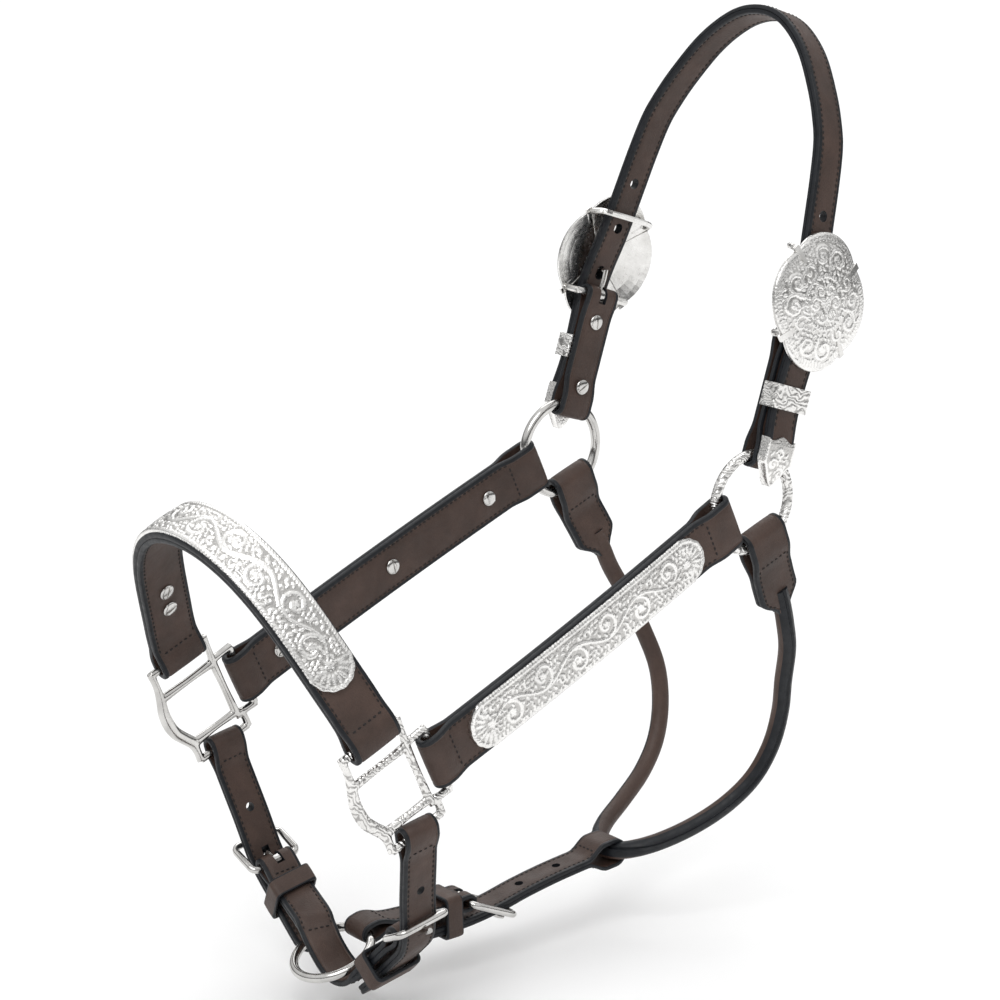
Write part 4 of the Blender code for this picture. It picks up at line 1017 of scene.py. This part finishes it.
# --- throat connector ---
CONNECTOR_BILLET = ((210.3, -126.2), (202.0, -126.5), (188.0, -128.0), (162.0, -131.2),
                    (140.0, -135.0), (120.0, -139.4), (98.0, -142.4), (72.0, -143.2),
                    (54.0, -142.6))
CONNECTOR_CHAPE = ((29.0, -135.2), (34.2, -133.1), (44.0, -131.0), (56.0, -132.2),
                   (70.0, -132.6), (84.0, -131.6), (104.2, -131.4))
CONNECTOR_BAR = (99.2, -131.4)
CONNECTOR_FRAME = (28.5, -12.5)
CONNECTOR_HOLES = (143.5, 169.0)
CONNECTOR_KEEPER_REAR = 86.5


def connector_direction():
    return Vector((0.0, *CONNECTOR_FRAME)).normalized()


def connector_strap_route():
    return Route([from_square(0.0, y, z) for y, z in CONNECTOR_BILLET], 6)


def connector_chape_route():
    return Route([from_square(0.0, y, z) for y, z in CONNECTOR_CHAPE], 6)


def make_connector():
    route = connector_strap_route()
    eye = (ROLL_RADIUS + GAP + 3.0, 15.0)
    half = strap_profile(route.length, CONNECTOR_THICK, eye)
    ply = CONNECTOR_THICK / 2 - 0.04
    width = pointed(CONNECTOR_WIDTH, route.length)
    frames = fold_frames(route, X_AXIS, half, ply, width, eye, step=2.0)
    strap = sweep("connector_strap_leather", frames, ply, NARROW_INSET, ("connector_strap",))
    for y in CONNECTOR_HOLES:
        hole = route.at(route.nearest(lambda p, y=y: p.y < HEAD.origin.y + y))
        place = placing(hole, X_AXIS, Vector((0.0, 1.0, 0.0)), Vector((0.0, 0.0, 1.0)))
        cut(strap, *prism(circle(HOLE_RADIUS - 0.4, 20), place, -9, 9))
    pivot = from_square(0.0, *CONNECTOR_BAR)
    tongue_window(strap, pivot, connector_direction(), X_AXIS, 14.0, 1)
    stitched("connector_strap_stitching", route, X_AXIS, half, CONNECTOR_WIDTH,
             ((22.0, route.length - 10.0),), NARROW_INSET, 1)

    chape = connector_chape_route()
    ring_eye = (CHIN_RING_WIRE + GAP + 2.8, 9.0)
    bar_eye = (BUCKLE_WIRE + GAP + 2.6, 7.0)
    half = strap_profile(chape.length, CONNECTOR_THICK, ring_eye, bar_eye)
    frames = fold_frames(chape, X_AXIS, half, ply, CONNECTOR_WIDTH, ring_eye, bar_eye, step=2.0)
    folded = sweep("connector_chape_leather", frames, ply, NARROW_INSET, ("connector_chape",),
                   closed=True)
    fold_slot(folded, pivot, connector_direction(), X_AXIS)
    stitched("connector_chape_stitching", chape, X_AXIS, half, CONNECTOR_WIDTH,
             ((16.0, chape.length - 13.0),), NARROW_INSET)

    buckle_frame("connector_buckle_frame", "connector_buckle", pivot, connector_direction(),
                 X_AXIS, hypot(*CONNECTOR_FRAME), 21.6)
    start = chape.nearest(lambda p: p.y > HEAD.origin.y + CONNECTOR_KEEPER_REAR)
    leather_keeper("connector_keeper_leather", "connector_keeper", chape, route, start, X_AXIS,
                   CONNECTOR_WIDTH, (5.2, CONNECTOR_THICK / 2 + 1.0))


# --- rings and screws ---
CHIN_RING_CENTRE = (0.5, 14.4, -140.9)
CHIN_RING_AXIS = (0.0, -0.367, 0.930)


def side_metal(s):
    """The near side's ring and square are engraved silver, the off side's plain steel."""
    return ("silver", CUT_LOOK) if s > 0 else ("steel", STEEL_LOOK)


def make_rings():
    for side, s in SIDES:
        kind, look = side_metal(s)
        points = circle_points(RING_CENTRE + X_AXIS * RING_X * s, X_AXIS, RING_MEAN_RADIUS, 144)
        wire(side + "_ring_wire", points, RING_WIRE, side + "_ring", look,
             (side + "_ring",), sides=24, closed=True)
    points = circle_points(from_square(*CHIN_RING_CENTRE), CHIN_RING_AXIS,
                           CHIN_RING_MEAN_RADIUS, 120)
    wire("chin_ring_wire", points, CHIN_RING_WIRE, "chin_ring", STEEL_LOOK,
         ("chin_ring",), sides=24, closed=True)


# each bar of a square: its points (rearward, up) and its half width at each of them
SQUARE_BARS = (
    (((-34.9, 15.6), (-17.0, 15.8), (1.2, 15.6)), (2.3, 2.0, 2.3)),
    (((-35.2, 0.0), (-17.0, 0.0), (0.0, 0.0)), (2.6, 2.0, 2.6)),
    (((-27.5, -33.6), (-14.0, -33.3), (0.0, -33.6)), (3.0, 1.9, 2.5)),
    (((-30.0, -44.7), (-14.0, -44.8), (3.2, -44.7)), (2.3, 2.0, 2.3)),
    (((0.0, 2.0), (0.0, -16.5), (0.0, -35.0)), (2.6, 2.0, 2.6)),
    (((12.6, 1.2), (12.8, -16.5), (12.6, -35.8)), (2.3, 2.0, 2.3)),
    (((1.4, 17.0), (0.9, 7.0), (0.2, 0.0)), (2.1, 1.8, 2.4)),
    (((-34.9, 17.0), (-34.9, 8.0), (-36.0, 0.0), (-37.8, -8.0), (-37.9, -15.0), (-36.6, -21.5),
      (-33.4, -27.4), (-30.2, -33.0), (-29.8, -39.0), (-30.0, -45.0)),
     (2.2, 2.0, 2.8, 3.4, 3.6, 3.5, 3.4, 3.3, 2.3, 2.4)),
    (((-1.0, 1.2), (6.0, 1.6), (13.6, 1.6)), (2.7, 2.0, 2.5)),
    (((-1.0, -35.4), (6.0, -35.9), (13.4, -36.0)), (2.7, 2.1, 2.4)),
    (((2.6, -34.0), (3.6, -40.0), (3.2, -45.4)), (2.7, 2.1, 2.4)),
)


SQUARE_HALF = 2.05              # half its thickness
SQUARE_VOXEL = 0.45


def make_square(side, s):
    """The casting: rounded bars that flow into each other where they meet."""
    verts = []
    faces = []
    for points, widths in SQUARE_BARS:
        path = smooth_path([(a, b, 0.0) for a, b in points], 6)
        sizes = smooth_path([(w, 0.0, 0.0) for w in widths], 6)
        tube_loops = wire_loops(path, lambda i, sizes=sizes: sizes[i].x, 16, False)
        flat = []
        for loop in tube_loops:
            reach = max(0.1, max(abs(v.z) for v in loop))
            flat.append([HEAD.at(s * (SQUARE_X + SQUARE_HALF * v.z / reach), v.x, v.y)
                         for v in loop])
        part_verts, part_faces = bridge(flat, False)
        base = len(verts)
        verts += part_verts
        faces += [tuple(base + i for i in face) for face in part_faces]
    kind, look = side_metal(s)
    obj = to_piece(side + "_square_casting", verts, faces, ROOT, (look,),
                   nodes=(side + "_square",))
    fuse = obj.modifiers.new("fused", "REMESH")
    fuse.mode = "VOXEL"
    fuse.voxel_size = SQUARE_VOXEL * MM
    fuse.use_smooth_shade = True
    smooth = obj.modifiers.new("smoothed", "SMOOTH")
    smooth.factor = 0.5
    smooth.iterations = 4


def screw(name, node, head, inward, turn):
    """A low domed screw head with a driver slot, on its shank's flange."""
    inward = Vector(inward).normalized()
    head = Vector(head)
    rim = SCREW_HEAD
    profile = [(0.01, 1.55), (rim * 0.35, 1.5), (rim * 0.62, 1.34), (rim * 0.84, 1.05),
               (rim * 0.96, 0.72), (rim, 0.42), (rim, 0.05), (rim * 0.96, -0.1), (0.01, -0.1)]
    loops = [circle_points(head + inward * h, inward, r, 32) for r, h in profile]
    verts, faces = bridge(loops, False)
    obj = to_piece(name, verts, faces, ROOT, (STEEL_LOOK,), nodes=(node,))
    u = (circle_points(Vector(), inward, 1.0, 4)[0]).normalized()
    v = inward.cross(u)
    along = u * cos(turn) + v * sin(turn)
    beside = inward.cross(along)
    place = placing(head, along, beside, inward)
    slot = [(-rim - 1, -0.5), (rim + 1, -0.5), (rim + 1, 0.5), (-rim - 1, 0.5)]
    cut(obj, *prism(slot, place, 0.75, 3.0))


def make_screws():
    route = nose_route()
    for side, s in SIDES:
        plain = CHAPE_PLY + CHAPE_SLIT / 2
        for k, (label, up, swell) in enumerate(CHAPE_SCREWS):
            inner = RING_X - plain - swell - GAP
            name = side + "_chape_screw_" + label
            screw(name + "_head", name, CROWN.at(inner * s, 0.0, up), (-s, 0, 0), 0.5 + k)
        for number, rear in enumerate(CHEEK_SCREWS, 1):
            name = side + "_cheek_screw_" + str(number)
            under = cheek_point(s, rear, 0.0, -CHEEK_THICK / 2 - GAP)
            screw(name + "_head", name, under, (-s, 0, 0), 0.9 * number)
        for k, (label, up) in enumerate(NOSE_SCREWS):
            d = route.nearest(lambda p, up=up: height_in_head(p) > up)
            d = d if s > 0 else route.length - d
            out = nose_outwards(route, d)
            name = side + "_nose_screw_" + label
            screw(name + "_head", name, route.at(d) - out * (CHEEK_THICK / 2 + GAP), -out, 0.6 + k)


# --- engraving ---
class Engraving:
    """Curves on a flat sheet, each with a half width, that stand up as leaves."""

    def __init__(self):
        self.marks = []

    def curve(self, points, half_width):
        run = 0.0
        for k, (x, y) in enumerate(points):
            if k:
                run += hypot(x - points[k - 1][0], y - points[k - 1][1])
            t = k / max(1, len(points) - 1)
            wide = half_width * (0.35 + 0.65 * sin(pi * min(1.0, 0.12 + t * 0.88)))
            self.marks.append((x, y, wide, run))

    def curl(self, x, y, radius, start, way, turns=1.45, half_width=1.5):
        points = []
        for k in range(int(70 * turns)):
            t = k / (70 * turns - 1)
            r = radius * (1 - t) ** 0.85 + 0.35
            a = start + way * t * 2 * pi * turns
            points.append((x + r * cos(a), y + r * sin(a)))
        self.curve(points, half_width)

    def petals(self, x, y, radius, count, half_width=0.9):
        for k in range(count):
            a = 2 * pi * k / count
            self.curve([(x + radius * t * cos(a), y + radius * t * sin(a))
                        for t in (0.15, 0.4, 0.65, 0.9, 1.15)], half_width)

    def fan(self, x, y, radius, start, end, count, half_width=1.0):
        for k in range(count):
            a = start + (end - start) * k / (count - 1)
            self.curve([(x + radius * t * cos(a), y + radius * t * sin(a))
                        for t in (0.45, 0.55, 0.65, 0.75, 0.85, 0.95, 1.0)], half_width)

    def fill(self, low, high, inside, cell=2.7, clear=1.55):
        """Short leaves wherever the ground would be left bare."""
        tree = self.tree()
        leaves = []
        rows = int((high[1] - low[1]) / cell)
        columns = int((high[0] - low[0]) / cell)
        for i in range(columns + 1):
            for j in range(rows + 1):
                x = low[0] + cell * (i + 0.5 * (j % 2))
                y = low[1] + cell * j
                _, k, d = tree.find((x, y, 0.0))
                if d > self.marks[k][2] + clear * 0.55 and inside(x, y):
                    near_x, near_y = self.marks[k][:2]
                    leaves.append((x, y, atan2(y - near_y, x - near_x) + 0.9))
        for x, y, a in leaves:
            self.curve([(x + t * cos(a + 0.25 * t), y + t * sin(a + 0.25 * t))
                        for t in (-1.3, -0.8, -0.3, 0.2, 0.7, 1.2)], 0.85)

    def tree(self):
        tree = KDTree(len(self.marks))
        for i, (x, y, _, _) in enumerate(self.marks):
            tree.insert((x, y, 0.0), i)
        tree.balance()
        return tree

    def height(self, tree, x, y):
        """How far the sheet stands up, from -0.25 in the ground to about 0.6."""
        _, i, d = tree.find((x, y, 0.0))
        _, _, wide, run = self.marks[i]
        stipple = 0.07 * sin(x * 9.1 + 3.0 * sin(y * 7.3)) * sin(y * 8.7 + 2.0 * sin(x * 5.9))
        if d >= wide:
            return -0.25 + stipple
        dome = sqrt(max(0.0, 1 - (d / wide) ** 2))
        cuts = 0.5 + 0.5 * cos(2 * pi * run / 1.7)
        return -0.12 + dome * (0.62 - 0.24 * cuts * min(1.0, 1.8 * d / wide))


def rope(across, run, half_width, pitch=2.0):
    """A twisted border: across from its middle, run along it."""
    if abs(across) >= half_width:
        return None
    dome = sqrt(1 - (across / half_width) ** 2)
    return -0.1 + dome * (0.40 + 0.26 * cos(2 * pi * (run + 0.9 * across) / pitch))


def vine(length, half, waves):
    """A scrolling stem with a curl and a flower in each bend, and fans at the ends."""
    work = Engraving()
    left = half * 1.15
    right = length - half * 1.15
    reach = right - left
    swing = half * 0.34
    stem = []
    for k in range(int(reach * 3)):
        x = left + reach * k / (reach * 3 - 1)
        stem.append((x, swing * sin(2 * pi * waves * (x - left) / reach)))
    work.curve(stem, 1.15)
    bends = 2 * waves
    for k in range(bends):
        x = left + reach * (k + 0.5) / bends
        sign = 1 if k % 2 == 0 else -1
        radius = min(half * 0.50, reach / bends * 0.46)
        work.curl(x, -sign * half * 0.26, radius, sign * pi / 2, -sign, 1.35, 1.35)
        work.petals(x, -sign * half * 0.26, 1.9, 5, 0.8)
        for step in (-0.5, -0.17, 0.17, 0.5):
            tip = x + reach / bends * step
            work.curve([(tip + 1.8 * t, sign * (half * 0.50 + 3.2 * t)) for t in (0, 0.3, 0.6, 1)],
                       0.95)
        work.curl(x + reach / bends * 0.42, sign * half * 0.46, 2.2, -sign * pi / 2, sign,
                  1.0, 0.8)
    work.fill((half * 0.9, 3.0 - half), (length - half * 0.9, half - 3.0),
              lambda x, y: abs(y) < half - 2.8)
    for x, way in ((half, pi), (length - half, 0.0)):
        work.fan(x, 0.0, half - 2.6, way - radians(84), way + radians(84), 9, 1.15)
        work.petals(x, 0.0, 2.4, 7, 0.9)
    return work


def plate_piece(name, route, across, outwards, length, start, half, waves, nodes, lift):
    """A domed, engraved plate with round scalloped ends, along a strap's face."""
    work = vine(length, half, waves)
    tree = work.tree()
    cell = 0.46
    close = [half * (1 - cos(pi / 2 * k / 22)) for k in range(22)]
    stations = close + spaced(half, length - half, cell)[:-1]
    stations += [length - d for d in reversed(close)]
    columns = 52
    loops = []
    for u in stations:
        u = min(max(u, 0.02), length - 0.02)
        from_end = min(u, length - u)
        reach = half
        if from_end < half:
            reach = half * sqrt(max(1e-6, 1 - (1 - from_end / half) ** 2))
        row = []
        for j in range(columns + 1):
            v = reach * (2 * j / columns - 1)
            x, y = u, v
            centre_u = half if u < length / 2 else length - half
            beyond = (centre_u - u) if u < length / 2 else (u - centre_u)
            if beyond > 0:
                r = hypot(beyond, v)
                angle = atan2(v, beyond)
                scallop = 1.0 + 0.035 * (r / half) ** 4 * (abs(cos(angle * 6.5)) - 0.5)
                x = centre_u + (u - centre_u) * scallop
                y = v * scallop
                edge = half - r
                run = angle * half
            else:
                edge = half - abs(v)
                run = u
            height = work.height(tree, x, y)
            border = rope(edge - 1.3, run, 1.05)
            if border is not None:
                height = border
            elif edge < 0.35:
                height = -0.1
            dome = 0.8 + 0.55 * (1 - (v / half) ** 2)
            centre, side, _ = route.frame(start + x, across)
            normal = outwards(start + x)
            base = lift + SILVER_THICK * dome
            row.append((centre + side * y + normal * (base + height * 0.75), height))
        loops.append(row)
    verts = [p for row in loops for p, _ in row]
    relief = [h for row in loops for _, h in row]
    count = columns + 1
    faces = []
    for i in range(len(loops) - 1):
        for j in range(columns):
            a = i * count + j
            faces.append((a, a + 1, a + count + 1, a + count))
    rim = list(range(count))
    rim += [i * count + columns for i in range(1, len(loops))]
    rim += [(len(loops) - 1) * count + j for j in range(columns - 1, -1, -1)]
    rim += [i * count for i in range(len(loops) - 2, 0, -1)]
    low = len(verts)
    for i in rim:
        row, j = divmod(i, count)
        u = stations[row]
        normal = outwards(start + min(max(u, 0.02), length - 0.02))
        verts.append(verts[i] - normal * (SILVER_THICK * 0.9 + 0.5))
        relief.append(0.4)
    total = len(rim)
    for k in range(total):
        n = (k + 1) % total
        faces.append((rim[k], low + k, low + n, rim[n]))
    to_piece(name, verts, faces, ROOT, (ENGRAVED_LOOK,), nodes=nodes, sharp=60.0,
             relief=relief)


def make_nose_plate():
    route = nose_route()
    start = route.nearest(lambda p: height_in_head(p) > NOSE_PLATE_END)
    plate_piece("nose_plate_engraved", route, HEAD.rear, lambda d: nose_outwards(route, d),
                route.length - 2 * start, start, PLATE_WIDE / 2, 5, ("nose_plate",),
                CHEEK_THICK / 2 + GAP)


def make_cheek_plate(side, s):
    marks = spaced(CHEEK_PLATE[0], CHEEK_PLATE[1], 21.0)
    route = Route([cheek_point(s, mark) for mark in marks], 6)
    plate_piece(side + "_cheek_plate_engraved", route, HEAD.up, lambda d: X_AXIS * s,
                route.length, 0.0, PLATE_WIDE / 2, 3, (side + "_cheek_plate",),
                CHEEK_THICK / 2 + GAP)


PLATE_UP = 111.5
PLATE_REAR = 4.0
PLATE_RIM_X = 87.5
PLATE_DOME = 5.2
PLATE_THICK = 1.6
PLATE_LEAN = 0.112
TOP_LOBE = (13.5, 23.5)
SIDE_LOBE = (6.0, 28.0)


def lobed_radius(angle):
    """The crown plate's edge: how far out it is at an angle from its middle."""
    best = 0.0
    out, side_radius = SIDE_LOBE
    rise, top_radius = TOP_LOBE
    for a, b, radius in ((out, 0.0, side_radius), (-out, 0.0, side_radius),
                         (0.0, rise, top_radius), (0.0, -rise, top_radius)):
        along = a * cos(angle) + b * sin(angle)
        off = a * sin(angle) - b * cos(angle)
        if abs(off) < radius:
            best = max(best, along + sqrt(radius ** 2 - off ** 2))
    return best


def make_crown_plate(side, s):
    work = Engraving()
    for turn in range(4):
        a = turn * pi / 2
        out = 21.0 if turn % 2 == 0 else 24.0
        for flip in (1, -1):
            x = out * cos(a) - flip * 6.0 * sin(a)
            y = out * sin(a) + flip * 6.0 * cos(a)
            work.curl(x, y, 5.6, a - flip * pi / 2, flip, 1.4, 1.4)
            work.petals(x, y, 1.8, 5, 0.8)
        work.curve([((out - 9) * cos(a) + t * cos(a), (out - 9) * sin(a) + t * sin(a))
                    for t in (0, 2, 4, 6, 8, 10, 13)], 1.6)
        d = a + pi / 4
        work.curl(19.5 * cos(d), 19.5 * sin(d), 4.2, d + pi, 1, 1.2, 1.1)
    for k in range(6):
        a = 2 * pi * k / 6 + 0.3
        work.curl(7.2 * cos(a), 7.2 * sin(a), 3.9, a + pi, 1 if k % 2 else -1, 1.35, 1.2)
        work.petals(7.2 * cos(a), 7.2 * sin(a), 1.2, 5, 0.6)
    work.petals(0.0, 0.0, 3.0, 8, 0.9)
    work.fill((-34.0, -37.0), (34.0, 37.0),
              lambda a, b: hypot(a, b) < lobed_radius(atan2(b, a)) - 4.0)
    tree = work.tree()
    around = 260
    steps = 60
    inner_ring = 14.0
    verts = [None]
    heights = [0.3]
    shells = []
    for i in range(1, steps + 1):
        share = i / steps
        for j in range(around):
            angle = 2 * pi * j / around
            edge = lobed_radius(angle)
            r = edge * share
            a = r * cos(angle)
            b = r * sin(angle)
            height = work.height(tree, a, b)
            border = rope((edge - r) - 1.3, angle * edge, 1.1)
            inner = rope(r - inner_ring, angle * inner_ring, 0.85)
            flute = edge - r
            if border is not None:
                height = border
            elif inner is not None:
                height = inner
            elif 2.4 < flute < 4.6:
                height = 0.1 + 0.22 * cos(angle * 96)
            lift = PLATE_DOME * (1 - share ** 2) + PLATE_THICK + 0.12
            x = PLATE_RIM_X + lift - PLATE_LEAN * b + height * 0.8
            verts.append(CROWN.at(s * x, PLATE_REAR + a, PLATE_UP + b))
            heights.append(height)
    verts[0] = CROWN.at(s * (PLATE_RIM_X + PLATE_DOME + PLATE_THICK + 0.4), PLATE_REAR, PLATE_UP)
    faces = [(0, 1 + j, 1 + (j + 1) % around) for j in range(around)]
    for i in range(steps - 1):
        for j in range(around):
            a = 1 + i * around + j
            b = 1 + i * around + (j + 1) % around
            faces.append((a, a + around, b + around, b))
    low = len(verts)
    base = 1 + (steps - 1) * around
    for j in range(around):
        verts.append(verts[base + j] - X_AXIS * s * 1.5)
        heights.append(0.3)
    for j in range(around):
        n = (j + 1) % around
        faces.append((base + j, low + j, low + n, base + n))
    to_piece(side + "_crown_plate_engraving", verts, faces, ROOT, (ENGRAVED_LOOK,),
             sharp=60.0, relief=heights)


def make_crown_tip(side, s):
    """The pointed silver cap over the strap's free end, engraved on its face."""
    half = CROWN_WIDTH / 2 + 0.9
    deep = CROWN_THICK / 2 + 0.9
    top = TIP_UP + TIP_LENGTH - 2.0
    low = TIP_UP - 2.6
    work = Engraving()
    work.curl(3.2, 7.5, 2.9, pi, -1, 1.3, 1.0)
    work.curl(-3.2, 12.0, 2.9, 0.0, 1, 1.3, 1.0)
    work.curl(0.0, 18.0, 2.4, pi, -1, 1.2, 0.9)
    work.fill((-7.0, 4.0), (7.0, 20.0), lambda a, b: abs(a) < 1.0 + b * 0.55 and abs(a) < 7.0)
    tree = work.tree()
    steps = 44
    columns = 36
    loops = []
    relief = []
    for i in range(steps + 1):
        share = i / steps
        up = low + (top - low) * share
        rise = up - low
        narrow = tip_narrow(rise)
        loop = []
        for k in range(columns):
            across = 2 * (k + 0.5) / columns - 1
            v = half * narrow * across
            crest = 1.3 * cos(pi * across * 1.5) * ease((share - 0.8) / 0.2)
            face_up = max(up + crest, TIP_UP + 0.1)
            height = work.height(tree, v, rise) if abs(v) < half - 1.6 else 0.2
            border = rope(half * narrow - abs(v) - 1.1, up, 0.75, 1.7)
            height = border if border is not None else height
            x = crown_x(face_up) + deep * (0.86 + 0.14 * narrow) - 0.5 * across ** 8
            loop.append(CROWN.at(s * (x + 0.45 * height), v, up + crest))
            relief.append(height)
        for k in range(columns):
            across = 1 - 2 * (k + 0.5) / columns
            face_up = max(up, TIP_UP + 0.1)
            x = crown_x(face_up) - deep * (0.82 + 0.05 * narrow) + 0.5 * across ** 8
            loop.append(CROWN.at(s * x, half * narrow * across, up))
            relief.append(0.35)
        loops.append(loop)
    verts, faces = bridge(loops, False)
    to_piece(side + "_crown_tip_cap", verts, faces, ROOT, (ENGRAVED_LOOK,),
             nodes=(side + "_crown_tip",), sharp=50.0, relief=relief)


# --- the whole ---
KEEPER_BEVEL = 0.3


def dress_cad():
    """Finishes, and softened edges, on the metal that the CAD nodes keep showing."""
    finishes = {"connector_tongue": STEEL_LOOK}
    for side, _ in SIDES:
        finishes[side + "_crown_plate"] = SILVER_LOOK
        finishes[side + "_crown_keeper"] = CUT_LOOK
        finishes[side + "_crown_tongue"] = STEEL_LOOK
        finishes[side + "_chin_tongue"] = STEEL_LOOK
    for name, look in finishes.items():
        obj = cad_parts[name]
        obj.data.materials.clear()
        obj.data.materials.append(look)
        if name.endswith("_crown_keeper"):
            bevel = obj.modifiers.new("softened", "BEVEL")
            bevel.width = KEEPER_BEVEL * MM
            bevel.segments = 3
            bevel.limit_method = "ANGLE"
            bevel.angle_limit = radians(40.0)
            bevel.harden_normals = False


def build():
    make_crown_strap()
    make_noseband()
    make_nose_plate()
    make_chin_strap()
    make_throat_strap()
    make_connector()
    make_rings()
    make_screws()
    for side, s in SIDES:
        make_square(side, s)
        make_chape(side, s)
        make_crown_plate(side, s)
        make_crown_tip(side, s)
        make_cheek_strap(side, s)
        make_cheek_plate(side, s)
        make_chin_billet(side, s)
        make_chin_keeper(side, s)
        pivot = CHIN.at(s * CHIN_BUCKLE_BAR[0], 0.0, CHIN_BUCKLE_BAR[1])
        buckle_frame(side + "_chin_buckle_frame", side + "_chin_buckle", pivot,
                     chin_frame_direction(s), CHIN.rear, hypot(*CHIN_FRAME))
    dress_cad()


# --- studio ---
CAMERA_AT = (1.2222, -1.1352, 0.1426)
CAMERA_AZIMUTH = radians(52.18)
CAMERA_ELEVATION = radians(14.04)
LENS = 108.0
SENSOR = 36.0
FLOOR_GAP = 0.012               # metres of air under the headcollar
FLOOR_REACH = 14.0


def add_sun(name, place, aim, spread, power):
    """A soft light that is as strong at the far end of the floor as at the near one."""
    data = bpy.data.lights.new(name, "SUN")
    data.angle = spread
    data.energy = power
    obj = new_object(name, data)
    obj.location = place
    way = Vector(aim) - Vector(place)
    obj.rotation_euler = way.to_track_quat("-Z", "Y").to_euler()


def studio():
    scene = bpy.context.scene
    data = bpy.data.cameras.new("camera")
    data.lens = LENS
    data.sensor_width = SENSOR
    data.clip_end = 60.0
    camera = new_object("camera", data)
    camera.location = CAMERA_AT
    forward = Vector((-sin(CAMERA_AZIMUTH) * cos(CAMERA_ELEVATION),
                      cos(CAMERA_AZIMUTH) * cos(CAMERA_ELEVATION), -sin(CAMERA_ELEVATION)))
    camera.rotation_euler = forward.to_track_quat("-Z", "Y").to_euler()
    scene.camera = camera

    floor_z = CAD_BOX[0][2] - FLOOR_GAP
    mesh = bpy.data.meshes.new("floor")
    corners = ((-1, -1), (1, -1), (1, 1), (-1, 1))
    mesh.from_pydata([(a * FLOOR_REACH, b * FLOOR_REACH, floor_z) for a, b in corners], [],
                     [(0, 1, 2, 3)])
    look, tree, shader = new_material("pale_floor")
    tint(tree, shader, noise(tree, 3.0), ((0.3, grey(0.90)), (0.7, grey(0.93))))
    shader.inputs["Roughness"].default_value = 0.9
    mesh.materials.append(look)
    floor = new_object("floor", mesh)

    world = bpy.data.worlds.new("studio")
    world.use_nodes = True
    place = add(world.node_tree, "ShaderNodeTexCoord")
    split = add(world.node_tree, "ShaderNodeSeparateXYZ")
    world.node_tree.links.new(place.outputs["Generated"], split.inputs["Vector"])
    sky = ramp(world.node_tree, split.outputs["Z"], ((0.0, grey(0.20)), (0.14, grey(0.12)),
                                                     (0.34, grey(0.85)), (1.0, grey(1.0))))
    background = world.node_tree.nodes["Background"]
    world.node_tree.links.new(sky, background.inputs["Color"])
    background.inputs["Strength"].default_value = 0.86
    scene.world = world
    middle = (0.0, -0.2, -0.25)
    add_sun("key", (0.9, -1.6, 1.9), middle, radians(38.0), 1.15)
    add_sun("back", (-1.4, 1.0, 1.6), middle, radians(50.0), 0.70)
    scene.view_settings.view_transform = "Standard"


build()
studio()
